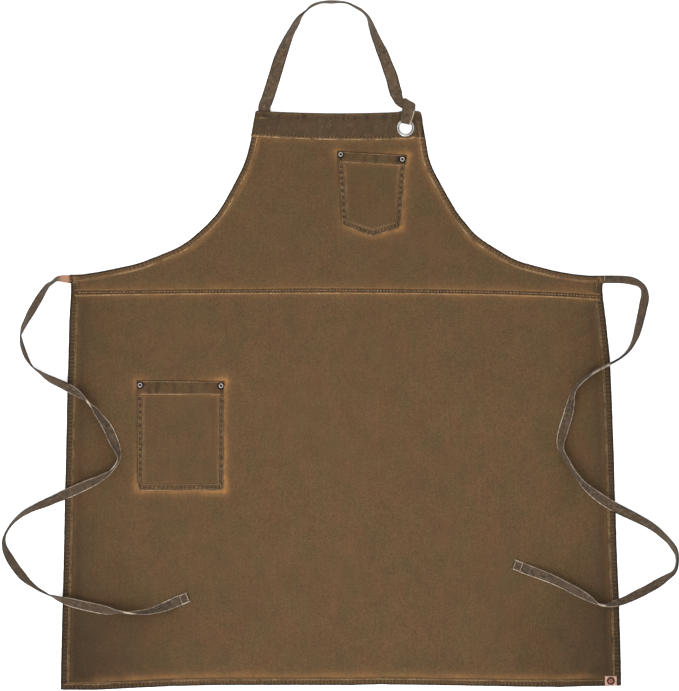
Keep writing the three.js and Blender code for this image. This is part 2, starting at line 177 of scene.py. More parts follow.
def noise2(x, y, size, seed):
    """Smooth value noise from -1 to 1."""
    lattice = np.random.default_rng(seed).uniform(-1, 1, (64, 64))
    u, v = np.asarray(x, float) / size + 512, np.asarray(y, float) / size + 512
    i, j = np.floor(u).astype(int), np.floor(v).astype(int)
    a, b = u - i, v - j
    a, b = a * a * (3 - 2 * a), b * b * (3 - 2 * b)
    i, j, i1, j1 = i % 64, j % 64, (i + 1) % 64, (j + 1) % 64
    low = lattice[i, j] * (1 - a) + lattice[i1, j] * a
    high = lattice[i, j1] * (1 - a) + lattice[i1, j1] * a
    return low * (1 - b) + high * b


def spline(points, steps):
    """Catmull-Rom through the points, as the CAD draws it, at steps parts to each span."""
    p = np.array(points, float)
    n = len(p)
    t = np.linspace(0, n - 1, (n - 1) * steps + 1)
    i = np.minimum(np.floor(t).astype(int), n - 2)
    w = (t - i)[:, None]
    p0, p1, p2, p3 = p[np.maximum(i - 1, 0)], p[i], p[i + 1], p[np.minimum(i + 2, n - 1)]
    v0, v1 = (p2 - p0) / 2, (p3 - p1) / 2
    return (2 * p1 - 2 * p2 + v0 + v1) * w**3 + (-3 * p1 + 3 * p2 - 2 * v0 - v1) * w**2 + v0 * w + p1


def lengths(line):
    return np.concatenate([[0], np.cumsum(np.linalg.norm(np.diff(line, axis=0), axis=1))])


def resample(line, step):
    """The same line with points about a step apart."""
    line = np.array(line, float)
    s = lengths(line[:, :2])
    at = np.linspace(0, s[-1], max(2, int(round(s[-1] / step)) + 1))
    return np.stack([np.interp(at, s, line[:, k]) for k in range(line.shape[1])], 1)


def normals(line):
    """Unit vectors to the left of the way a flat line runs."""
    d = np.gradient(line[:, :2], axis=0)
    d /= np.linalg.norm(d, axis=1)[:, None] + 1e-12
    return np.stack([-d[:, 1], d[:, 0]], 1)


def offset(line, d):
    return line + normals(line) * d


def unit(v):
    return v / np.linalg.norm(v)


def x_on(line, y):
    """x where a line that rises or falls steadily reaches height y."""
    line = np.array(line, float)
    if line[0, 1] > line[-1, 1]:
        line = line[::-1]
    return np.interp(y, line[:, 1], line[:, 0])


def distance(x, y, line):
    """Distance from each point to a polyline."""
    p = np.stack([np.asarray(x, float).ravel(), np.asarray(y, float).ravel()], 1)
    line = np.array(line, float)[:, :2]
    best = np.full(len(p), 1e9)
    for a, b in zip(line[:-1], line[1:]):
        ab = b - a
        t = np.clip(((p - a) @ ab) / (ab @ ab), 0, 1)
        best = np.minimum(best, np.linalg.norm(p - (a + t[:, None] * ab), axis=1))
    return best.reshape(np.shape(x))


waist = spline(WAIST, 20)
left_arm = spline(LEFT_ARM, 10)
right_arm = spline(RIGHT_ARM, 10)


def waist_y(x):
    return np.interp(x, waist[:, 0], waist[:, 1])


def top_y(x):
    return 443.5 + 4 * (np.asarray(x, float) / 127) ** 2


# ---------------------------------------------------------------- meshes


def build(name, verts, faces, material, attributes=None, sharp=None):
    """A mesh object from millimetres. faces is a list of index arrays, each (n, corners)."""
    mesh = bpy.data.meshes.new(name)
    verts = np.asarray(verts, float).reshape(-1, 3)
    mesh.vertices.add(len(verts))
    mesh.vertices.foreach_set("co", (verts * MM).ravel())
    faces = [np.asarray(f, int) for f in faces if len(f)]
    corners = np.concatenate([f.ravel() for f in faces])
    counts = np.concatenate([np.full(len(f), f.shape[1]) for f in faces])
    mesh.loops.add(len(corners))
    mesh.loops.foreach_set("vertex_index", corners.astype(np.int32))
    mesh.polygons.add(len(counts))
    mesh.polygons.foreach_set("loop_start", (np.cumsum(counts) - counts).astype(np.int32))
    mesh.polygons.foreach_set("use_smooth", np.ones(len(counts), bool))
    mesh.update(calc_edges=True)
    mesh.validate()
    if sharp:
        mesh.set_sharp_from_angle(angle=math.radians(sharp))
    for key, value in (attributes or {}).items():
        layer = mesh.attributes.new(key, "FLOAT", "POINT")
        layer.data.foreach_set("value", np.asarray(value, np.float32).ravel())
    obj = bpy.data.objects.new(name, mesh)
    bpy.context.scene.collection.objects.link(obj)
    obj.data.materials.append(material)
    return obj


def grid_faces(n, m):
    i, j = np.meshgrid(np.arange(n - 1), np.arange(m - 1), indexing="ij")
    a = i * m + j
    return np.stack([a, a + m, a + m + 1, a + 1], -1).reshape(-1, 4)


def tube_faces(n, k):
    """Sides of n rings of k points each, and a face on each end."""
    i, j = np.meshgrid(np.arange(n - 1), np.arange(k), indexing="ij")
    a, b = i * k + j, i * k + (j + 1) % k
    sides = np.stack([a, b, b + k, a + k], -1).reshape(-1, 4)
    ends = np.stack([np.arange(k)[::-1], (n - 1) * k + np.arange(k)])
    return [sides, ends]


def plate(front, back, hole=None):
    """A closed plate from two grids of the same shape (n, m, 3).

    hole is a block of cells left out: (i0, i1, j0, j1)."""
    n, m = front.shape[:2]
    verts = np.concatenate([front.reshape(-1, 3), back.reshape(-1, 3)])
    g = np.arange(n * m).reshape(n, m)

    def wall(block):
        rim = np.concatenate([block[:, 0], block[-1, 1:], block[-2::-1, -1], block[0, -2:0:-1]])
        rim_next = np.roll(rim, -1)
        return np.stack([rim, rim + n * m, rim_next + n * m, rim_next], 1)

    f = grid_faces(n, m)
    walls = [wall(g)]
    if hole is not None:
        i0, i1, j0, j1 = hole
        keep = np.ones((n - 1, m - 1), bool)
        keep[i0:i1, j0:j1] = False
        f = f[keep.ravel()]
        walls.append(wall(g[i0 : i1 + 1, j0 : j1 + 1])[:, ::-1])
    return verts, outward(verts, [f, f[:, ::-1] + n * m, *walls])


def outward(verts, faces):
    """Turn all faces round if the body is inside out."""
    v = np.asarray(verts, float)
    volume = 0
    for f in faces:
        for k in range(1, f.shape[1] - 1):
            a, b, c = v[f[:, 0]], v[f[:, k]], v[f[:, k + 1]]
            volume += np.einsum("ij,ij->i", a, np.cross(b, c)).sum()
    return faces if volume > 0 else [f[:, ::-1] for f in faces]


def on_both(shape, **values):
    """A plate's attributes, the same on its front and its back."""
    return {key: np.tile(np.broadcast_to(value, shape).ravel(), 2) for key, value in values.items()}


def joined(parts):
    """Several (verts, faces, attributes) as one."""
    verts, faces, attributes, start = [], [], {}, 0
    for v, f, at in parts:
        verts.append(np.asarray(v, float).reshape(-1, 3))
        faces += [np.asarray(x) + start for x in f]
        for key, value in at.items():
            attributes.setdefault(key, []).append(np.asarray(value, float).ravel())
        start += len(verts[-1])
    return np.concatenate(verts), faces, {k: np.concatenate(v) for k, v in attributes.items()}


# ---------------------------------------------------------------- material nodes


class Shader:
    """A material and short calls that add nodes to it."""

    def __init__(self, name):
        self.material = bpy.data.materials.new(name)
        self.material.use_nodes = True
        self.tree = self.material.node_tree
        self.tree.nodes.clear()
        self.surface = self.node("ShaderNodeBsdfPrincipled")
        output = self.node("ShaderNodeOutputMaterial")
        self.tree.links.new(self.surface.outputs["BSDF"], output.inputs["Surface"])

    def node(self, kind, **properties):
        n = self.tree.nodes.new(kind)
        for key, value in properties.items():
            setattr(n, key, value)
        return n

    def put(self, socket, value):
        if isinstance(value, bpy.types.NodeSocket):
            self.tree.links.new(value, socket)
        elif isinstance(value, (tuple, list)) and len(value) == 3 and socket.type == "RGBA":
            socket.default_value = (*value, 1)
        else:
            socket.default_value = value

    def math(self, operation, a, b=0.0, c=0.0, clamp=False):
        n = self.node("ShaderNodeMath", operation=operation, use_clamp=clamp)
        for socket, value in zip(n.inputs, (a, b, c)):
            self.put(socket, value)
        return n.outputs[0]

    def mix(self, factor, a, b, blend="MIX"):
        n = self.node("ShaderNodeMix", data_type="RGBA", blend_type=blend)
        self.put(n.inputs[0], factor)
        self.put(n.inputs[6], a)
        self.put(n.inputs[7], b)
        return n.outputs[2]

    def position(self, scale):
        """The point on the object, in units of scale millimetres."""
        where = self.node("ShaderNodeTexCoord").outputs["Object"]
        n = self.node("ShaderNodeMapping")
        self.put(n.inputs["Vector"], where)
        n.inputs["Scale"].default_value = [1000 / s for s in scale]
        return n.outputs[0]

    def noise(self, scale, detail=3.0, roughness=0.55, shift=0.0):
        """Noise from 0 to 1; scale is its size in millimetres, one number or three."""
        scale = scale if isinstance(scale, tuple) else (scale,) * 3
        n = self.node("ShaderNodeTexNoise", noise_dimensions="4D" if shift else "3D")
        self.put(n.inputs["Vector"], self.position(scale))
        if shift:
            n.inputs["W"].default_value = shift
        n.inputs["Scale"].default_value = 1
        n.inputs["Detail"].default_value = detail
        n.inputs["Roughness"].default_value = roughness
        return n.outputs[0]

    def ramp(self, value, low, high, to_low=0.0, to_high=1.0):
        n = self.node("ShaderNodeMapRange", clamp=True, interpolation_type="SMOOTHSTEP")
        self.put(n.inputs["Value"], value)
        for key, number in (("From Min", low), ("From Max", high), ("To Min", to_low), ("To Max", to_high)):
            n.inputs[key].default_value = number
        return n.outputs[0]

    def attribute(self, name):
        return self.node("ShaderNodeAttribute", attribute_name=name).outputs["Fac"]

    def bump(self, height, distance_mm, strength=1.0, normal=None):
        n = self.node("ShaderNodeBump")
        n.inputs["Strength"].default_value = strength
        n.inputs["Distance"].default_value = distance_mm * MM
        self.put(n.inputs["Height"], height)
        if normal is not None:
            self.put(n.inputs["Normal"], normal)
        return n.outputs[0]

    def grey(self, value):
        n = self.node("ShaderNodeCombineColor")
        for socket in n.inputs:
            self.put(socket, value)
        return n.outputs[0]

    def dim(self, color, factor):
        """The colour times a factor."""
        return self.mix(1.0, color, self.grey(factor), "MULTIPLY")

    def weave(self, pitch):
        """A twill weave of threads a pitch apart, from 0 to 1."""
        n = self.node("ShaderNodeSeparateXYZ")
        self.put(n.inputs[0], self.position((pitch,) * 3))
        px, py = n.outputs[0], n.outputs[1]
        warp = self.math("SINE", self.math("MULTIPLY", px, TAU))
        twill = self.math("SINE", self.math("MULTIPLY", self.math("ADD", px, py), math.pi))
        return self.math("MULTIPLY_ADD", self.math("MULTIPLY", warp, twill), 0.5, 0.5)

    def set(self, **values):
        for key, value in values.items():
            self.put(self.surface.inputs[key.replace("_", " ")], value)
        return self


def srgb(r, g, b, gain=1.0):
    """Albedo that shows as this sRGB colour when the cloth is lit by LIGHT."""
    return tuple(gain * ((c / 255 + 0.055) / 1.055) ** 2.4 / LIGHT for c in (r, g, b))


LIGHT = 2.3  # radiance of a white surface that faces the camera


def canvas_material(name, brightness=1.0, cool=0):
    s = Shader(name)
    olive = srgb(99 - cool, 78, 49 + cool, brightness)
    red = srgb(105 - cool, 77, 50 + cool, brightness)
    hue = s.ramp(s.noise((42, 55, 60), 5.0, 0.65), 0.34, 0.66)
    color = s.mix(hue, olive, red)
    cloud = s.noise(30, 4.0, 0.6, shift=3.0)
    color = s.dim(color, s.ramp(cloud, 0.25, 0.75, 0.93, 1.07))
    streak = s.noise((3.0, 46, 8), 3.0, 0.6, shift=7.0)
    color = s.dim(color, s.ramp(streak, 0.25, 0.75, 0.95, 1.05))
    grain = s.noise(1.7, 2.0, 0.7)
    color = s.dim(color, s.ramp(grain, 0.2, 0.8, 0.68, 1.32))
    speck = s.noise(4.0, 2.0, 0.6, shift=11.0)
    color = s.dim(color, s.ramp(speck, 0.25, 0.75, 0.94, 1.06))
    tone = s.attribute("tone")
    color = s.dim(color, s.math("ADD", tone, 1.0))
    rough_edge = s.noise(4.5, 4.0, 0.65, shift=1.5)
    stain = s.math("MULTIPLY", s.attribute("stain"), s.ramp(rough_edge, 0.25, 0.7, 0.45, 1.15), clamp=True)
    color = s.mix(stain, color, srgb(176, 125, 74, brightness))
    # near black: soiling, and painted shade at rolled edges, stitch grooves, pucker troughs and beside raised
    # parts
    dark = s.math("MULTIPLY", s.attribute("dark"), s.ramp(rough_edge, 0.2, 0.8, 1.15, 0.8), clamp=True)
    color = s.mix(dark, color, srgb(24, 16, 11))
    # pale tan: rubbed ridges and edges, and painted highlights on the pockets' edges
    wear = s.attribute("wear")
    wear = s.math("MULTIPLY", wear, s.ramp(s.noise(2.4, 3.0, 0.7, shift=9.0), 0.3, 0.62), clamp=True)
    color = s.mix(wear, color, srgb(208, 168, 122))
    weave = s.weave(0.75)
    height = s.math("ADD", s.math("MULTIPLY", weave, 0.5), s.math("MULTIPLY", grain, 0.8))
    fine = s.bump(height, 0.22, 0.55)
    normal = s.bump(s.noise(9, 4.0, 0.6, shift=5.0), 1.0, 0.25, fine)
    s.set(Base_Color=color, Roughness=0.92, Specular_IOR_Level=0.15, Sheen_Weight=0.02, Sheen_Roughness=0.5)
    s.put(s.surface.inputs["Normal"], normal)
    return s.material


def tape_material():
    s = Shader("tape")
    across, along, lit = s.attribute("across"), s.attribute("along"), s.attribute("lit")
    mottle = s.noise((5, 5, 5), 4.0, 0.65)
    color = s.mix(s.ramp(mottle, 0.35, 0.68), srgb(66, 52, 40), srgb(110, 92, 73))
    color = s.mix(s.ramp(s.noise(22, 3.0, 0.5, shift=2.0), 0.4, 0.7), color, srgb(90, 71, 52))
    grain = s.noise(1.2, 2.0, 0.7, shift=4.0)
    color = s.dim(color, s.ramp(grain, 0.2, 0.8, 0.78, 1.22))
    # long streaks along the tape, lighter and darker: painted light and shade of its lengthwise folds
    where = s.node("ShaderNodeCombineXYZ")
    s.put(where.inputs[0], s.math("MULTIPLY", across, 2.4))
    s.put(where.inputs[1], s.math("MULTIPLY", along, 0.055))
    crease = s.node("ShaderNodeTexNoise")
    s.put(crease.inputs["Vector"], where.outputs[0])
    crease.inputs["Scale"].default_value = 1
    crease.inputs["Detail"].default_value = 3
    color = s.dim(color, s.ramp(crease.outputs[0], 0.3, 0.7, 0.84, 1.16))
    color = s.dim(color, s.math("ADD", s.attribute("tone"), 1.0))
    side = s.math("ABSOLUTE", across)
    # where the tape stands on edge its raised edge is all one sees
    upright = s.ramp(s.attribute("upright"), 0.97, 0.998)
    raised = s.math("MULTIPLY", upright, s.ramp(across, -0.2, 0.2))
    rim = s.math("MULTIPLY_ADD", raised, 0.45, side)
    edge = s.ramp(rim, 0.80, 0.92)
    # The selvedges are worn cream where the tape lies on the cloth. The cream is strongest on one edge, and on
    # the raised edge where the tape stands upright: a painted highlight.
    fray = s.ramp(s.noise(3.2, 3.0, 0.6, shift=6.0), 0.3, 0.6)
    cream = s.mix(fray, srgb(160, 138, 112), srgb(232, 212, 188))
    patchy = s.ramp(s.noise(9, 2.0, 0.5, shift=8.0), 0.3, 0.55, 0.45, 1.0)
    bright = s.math("MULTIPLY", s.math("MAXIMUM", s.ramp(across, -0.5, 0.5, 1.0, 0.4), raised), patchy)
    cream_share = s.math("MULTIPLY", s.math("MULTIPLY", edge, lit), bright)
    color = s.mix(cream_share, color, cream)
    # Beside the cloth the edges are painted near black: a painted shadow where the tape meets the floor.
    unlit = s.math("MULTIPLY", s.ramp(rim, 0.80, 0.93), s.math("SUBTRACT", 1.0, lit), clamp=True)
    color = s.mix(unlit, color, srgb(26, 19, 14))
    color = s.mix(s.attribute("blush"), color, srgb(200, 152, 122))
    bone = s.math("ADD", along, s.math("MULTIPLY", side, 5.0))
    twill = s.math("SINE", s.math("MULTIPLY", bone, TAU / 1.5))
    height = s.math("ADD", s.math("MULTIPLY", twill, 0.25), grain)
    normal = s.bump(height, 0.25, 0.6)
    s.set(Base_Color=color, Roughness=0.9, Specular_IOR_Level=0.15, Sheen_Weight=0.06, Sheen_Roughness=0.5)
    s.put(s.surface.inputs["Normal"], normal)
    return s.material


def thread_material(name, light, shade):
    s = Shader(name)
    patch = s.noise(5, 3.0, 0.6)
    color = s.mix(s.ramp(patch, 0.35, 0.65), shade, light)
    ply = s.node("ShaderNodeTexWave", wave_type="BANDS", bands_direction="DIAGONAL")
    s.put(ply.inputs["Vector"], s.position((1,) * 3))
    ply.inputs["Scale"].default_value = 1.1
    color = s.dim(color, s.ramp(ply.outputs["Fac"], 0.0, 1.0, 0.82, 1.1))
    s.set(Base_Color=color, Roughness=0.7, Specular_IOR_Level=0.35)
    s.put(s.surface.inputs["Normal"], s.bump(ply.outputs["Fac"], 0.12, 0.7))
    return s.material


def metal_material(name, light, dark, roughness, pits=0.5):
    s = Shader(name)
    tarnish = s.ramp(s.noise(2.2, 4.0, 0.65), 0.35, 0.75)
    color = s.mix(s.math("MULTIPLY", tarnish, pits), light, dark)
    # the dark attribute makes the metal dull and near black: tarnish, and painted shade on the rivets' and the
    # eyelet's flanks
    dark_share = s.attribute("dark")
    color = s.mix(dark_share, color, (0.012, 0.006, 0.004))
    scratch = s.noise((0.25, 3, 3), 2.0, 0.6)
    rough = s.ramp(scratch, 0.3, 0.7, roughness * 0.8, roughness * 1.5)
    s.set(Base_Color=color, Metallic=s.math("SUBTRACT", 1.0, dark_share), Roughness=rough)
    s.set(Specular_IOR_Level=s.ramp(dark_share, 0.0, 1.0, 0.5, 0.05))
    s.put(s.surface.inputs["Normal"], s.bump(s.math("ADD", scratch, tarnish), 0.03, 0.5))
    return s.material


def leather_material():
    s = Shader("patch_leather")
    color = s.mix(s.ramp(s.noise(4, 4.0, 0.6), 0.3, 0.7), srgb(208, 154, 130), srgb(236, 190, 168))
    cells = s.node("ShaderNodeTexVoronoi", feature="DISTANCE_TO_EDGE")
    s.put(cells.inputs["Vector"], s.position((0.8,) * 3))
    cells.inputs["Scale"].default_value = 1
    pore = s.ramp(cells.outputs["Distance"], 0.0, 0.25)
    color = s.dim(color, s.ramp(pore, 0.0, 1.0, 0.8, 1.05))
    dark = s.attribute("dark")
    color = s.mix(dark, color, srgb(104, 58, 42))
    s.set(Base_Color=color, Roughness=0.55, Specular_IOR_Level=0.4)
    s.put(s.surface.inputs["Normal"], s.bump(pore, 0.1, 0.6))
    return s.material


CANVAS = canvas_material("canvas")
BAND_CANVAS = canvas_material("band_canvas", 0.75, 4)
TAPE = tape_material()
THREAD = thread_material("thread", srgb(208, 176, 132), srgb(140, 108, 72))
DARK_THREAD = thread_material("dark_thread", srgb(100, 80, 56), srgb(64, 48, 34))
PALE_THREAD = thread_material("pale_thread", srgb(226, 206, 178), srgb(176, 156, 130))
NICKEL = metal_material("nickel", (0.44, 0.44, 0.43), (0.08, 0.075, 0.07), 0.22, 0.8)
RIVET_METAL = metal_material("rivet_metal", (0.36, 0.34, 0.32), (0.09, 0.075, 0.06), 0.36, 0.8)
COPPER = metal_material("copper", (0.20, 0.085, 0.06), (0.08, 0.03, 0.02), 0.38, 0.6)
LEATHER = leather_material()

# ---------------------------------------------------------------- tapes


def past_side(x, y):
    """How far a point lies outside the skirt's nearer side."""
    left = np.interp(-y, [-p[1] for p in LEFT_SIDE], [p[0] for p in LEFT_SIDE])
    right = np.interp(-y, [-p[1] for p in RIGHT_SIDE], [p[0] for p in RIGHT_SIDE])
    return np.where(x < 0, left - x, x - right)


def ground_under(x, y):
    """What a tie lies on: the floor, or the skirt."""
    return np.where(y > 120, 0, ON_SKIRT * (1 - smooth(past_side(x, y), 11, 29)))


def ribbon(stations, full_width, ground, lit, seed, lead, tail=()):
    """A tape through stations, resting on its lower edge. lead and tail are stations with their own height.

    Returns (verts, faces, attributes, centreline)."""
    rows = [(*p[:3], p[3] if len(p) > 3 else full_width) for p in stations]
    line = spline(rows, 12)
    line = np.column_stack([line, ground(line[:, 0], line[:, 1]), np.ones(len(line))])
    line = np.vstack([np.array([(*row, 0) for row in lead], float), line[1:]])
    if len(tail):
        line = np.vstack([line[:-1], np.array([(*row, 0) for row in tail], float)])
    line = resample(line, 2.0)
    s = lengths(line[:, :2])
    n2 = normals(line)
    roll = np.radians(line[:, 2] + 5 * noise1(s, 17, seed) * smooth(s, 10, 60) * (s < s[-1] - 40))
    resting = line[:, 3] / 2 * np.abs(np.sin(roll)) + TAPE_THICKNESS * 0.55 * np.abs(np.cos(roll)) + 0.15
    line[:, 4] += line[:, 5] * resting
    normal = np.column_stack([n2, np.zeros(len(n2))])
    up = np.array([0, 0, 1.0])
    across_dir = np.cos(roll)[:, None] * normal + np.sin(roll)[:, None] * up
    face_dir = -np.sin(roll)[:, None] * normal + np.cos(roll)[:, None] * up
    half = line[:, 3] / 2
    centre = line[:, [0, 1, 4]]
    light = lit(centre[:, 0], centre[:, 1])
    # a tape that stands on edge bows along its middle
    bow = (1.9 + 0.5 * light) * smooth(np.abs(np.sin(roll)), 0.86, 0.99) * line[:, 5]
    rings = []
    for share, rise in TAPE_SECTION:
        ripple = 0.12 * noise2(s, s * 0 + 40 * share, 3.2, seed + 5) * abs(share) ** 2
        cup = 0.45 * (share**2 - 0.35) * noise1(s, 60, seed + 9)
        rings.append(
            centre + across_dir * (share * half + ripple * np.sign(share))[:, None]
            + face_dir * (rise * TAPE_THICKNESS / 2 + cup + bow * (0.6 - share**2))[:, None]
        )
    verts = np.stack(rings, 1)
    k = len(TAPE_SECTION)
    faces = outward(verts.reshape(-1, 3), tube_faces(len(line), k))
    across = np.tile([share for share, _ in TAPE_SECTION], len(line))
    attributes = {
        "across": across,
        "along": np.repeat(s, k),
        "lit": np.repeat(light, k),
        "upright": np.repeat(np.abs(np.sin(roll)), k),
    }
    return verts.reshape(-1, 3), faces, attributes, centre


def over_skirt(x, y):
    """1 where a tie lies over the skirt, 0 beside it."""
    return smooth(-past_side(x, y), -3, 5) * (np.asarray(y) < 120)


def tie_end(name, route, body):
    """The tie's end, turned under and sewn in a box: a thicker piece of tape past the end of its route."""
    (x0, y0), (x1, y1) = route[-2][:2], route[-1][:2]
    along = np.array([x1 - x0, y1 - y0], float)
    along /= np.linalg.norm(along)
    side = np.array([-along[1], along[0]])
    start = np.array([x1, y1])
    n, m = 15, 17
    u = np.linspace(-0.8, 14.6, n)
    v = np.linspace(-1, 1, m)
    uu, vv = np.meshgrid(u, v, indexing="ij")
    half = TIE / 2 + 0.1
    lift = 1.3 * np.clip(1 - np.abs(vv) ** 14, 0, 1) ** 0.5
    lift = 0.5 + lift * np.clip(1 - np.abs((uu - 6.9) / 7.7) ** 16, 0, 1) ** 0.5
    box = bell(np.maximum(np.abs(vv) * half / (half - 1.6), np.abs(uu - 6.9) / 5.6), 1, 0.10)
    lift = lift - 0.3 * box
    xy = start + uu[..., None] * along + (vv * half)[..., None] * side
    top = np.concatenate([xy, (ON_SKIRT + lift)[..., None]], -1)
    low = np.concatenate([xy, np.full((n, m, 1), ON_SKIRT + 0.02)], -1)
    verts, faces = plate(top, low)
    attributes = on_both((n, m), across=vv, along=uu, lit=1.0)
    tape = build(name, verts, faces, TAPE, attributes, sharp=50)
    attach(tape, body)
    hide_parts(name)
    reach = half - 1.5
    corner = [(1.4, -reach), (12.3, -reach), (12.3, reach), (1.4, reach), (1.4, -reach)]
    line = [start + a * along + b * side for a, b in corner]
    sewn = stitches(
        f"{name}_stitches", [line], ON_SKIRT + 1.72, 3.0, body, width=1.15, length=0.85, material=PALE_THREAD,
    )
    return tape, sewn


def stitches(name, lines, height, pitch, body, width=0.75, length=0.62, material=THREAD, seed=3):
    """Rows of single stitches along flat lines, each an arched grain of thread with its ends in the cloth.

    height is a number, or a function of x and y."""
    rise = 0.28
    rng = np.random.default_rng(seed)
    parts = []
    k = 6
    # along the stitch, thickness there, height there
    profile = [(-1.0, 0.35, -0.9), (-0.72, 0.8, -0.1), (0.0, 1.0, 0.35), (0.72, 0.8, -0.1), (1.0, 0.35, -0.9)]
    angle = np.arange(k) / k * TAU
    for line in lines:
        line = np.array(line, float)
        s = lengths(line)
        count = max(1, int(round(s[-1] / pitch)))
        at = (np.arange(count) + 0.5) * s[-1] / count
        x, y = np.interp(at, s, line[:, 0]), np.interp(at, s, line[:, 1])
        x2 = np.interp(at + 0.5, s, line[:, 0]) - np.interp(at - 0.5, s, line[:, 0])
        y2 = np.interp(at + 0.5, s, line[:, 1]) - np.interp(at - 0.5, s, line[:, 1])
        turn = np.arctan2(y2, x2) + rng.normal(0, 0.05, count)
        half = s[-1] / count * length / 2 * (1 + rng.normal(0, 0.06, count))
        z = (height(x, y) if callable(height) else height) + rng.normal(0, 0.03, count)
        for i in range(count):
            d = np.array([math.cos(turn[i]), math.sin(turn[i]), 0])
            n = np.array([-d[1], d[0], 0])
            rings = [
                np.array([x[i], y[i], z[i]]) + d * a * half[i]
                + np.outer(np.cos(angle), n) * r * width / 2
                + np.outer(np.sin(angle) * r * rise + c * rise, [0, 0, 1])
                for a, r, c in profile
            ]
            parts.append(np.array(rings))
    verts = np.concatenate([p.reshape(-1, 3) for p in parts])
    one = tube_faces(len(profile), k)
    size = len(profile) * k
    one = outward(parts[0].reshape(-1, 3), one)
    faces = [np.concatenate([f + i * size for i in range(len(parts))]) for f in one]
    obj = build(name, verts, faces, material)
    if body:
        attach(obj, body)
    return obj


def thread_row(name, *where, **options):
    """One of the CAD's rows of stitches."""
    row = stitches(name, *where, **options)
    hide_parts(name)


def make_tie(name, route, body, side):
    x, y = route[0][:2]
    lead = [(x - side * (24 - 2.0 * i), y, 0.0, 11.6, 0.5) for i in range(12)]
    seed = 11 if side < 0 else 23
    verts, faces, attributes, centre = ribbon(route, TIE, ground_under, lit=over_skirt, seed=seed, lead=lead)
    if side < 0:  # painted pale pink highlight where it leaves the corner
        attributes["blush"] = 0.95 * smooth(-verts[:, 0], 419, 422) * smooth(-verts[:, 0], 441, 431)
        attributes["blush"] *= verts[:, 1] > 150
    tape = build(name, verts, faces, TAPE, attributes, sharp=50)
    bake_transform(tape)
    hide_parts(name, f"{name}_sewn_end")
    if side > 0:  # a short pale row where it leaves the corner
        row = [(409, 183.6), (409, 192)]
        root = stitches(f"{name}_root_stitches", [row], 1.35, 2.1, None, 1.5, 0.95, PALE_THREAD)
        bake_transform(root)
    end_piece, sewn = tie_end(f"{name}_end_hem", route, body)
    return tape


make_tie("left_tie", LEFT_TIE, "left_tie", -1)
make_tie("right_tie", RIGHT_TIE, "right_tie", 1)


def make_strap():
    # sewn behind the band, then the route, then a hook that goes under the fold above the eyelet
    lead = [(-121.2 + 3.2 * t, 423.5 + 25.5 * t, 0.0, STRAP, 0.5) for t in np.linspace(0, 1, 8)]
    tail = [
        (86.5, 472.5, 180, 18, 0.9), (88, 468, 180, 16, 1.4), (90.5, 463, 180, 15, 2.0),
        (95.5, 459, 180, 14, 2.4),
        (102, 457, 180, 13, 2.4), (108, 457, 180, 13, 2.2),
    ]
    verts, faces, attributes, centre = ribbon(
        NECK_STRAP, STRAP, lambda x, y: 0 * x, lit=lambda x, y: smooth(y, 470, 440), seed=31,
        lead=lead, tail=tail,
    )
    attributes["tone"] = np.full(len(verts), 0.3)
    strap = build("neck_strap", verts, faces, TAPE, attributes, sharp=50)
    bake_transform(strap)
    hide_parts("neck_strap", "neck_strap_sewn_end")
    return strap


make_strap()

# ---------------------------------------------------------------- the fold of the strap above the eyelet


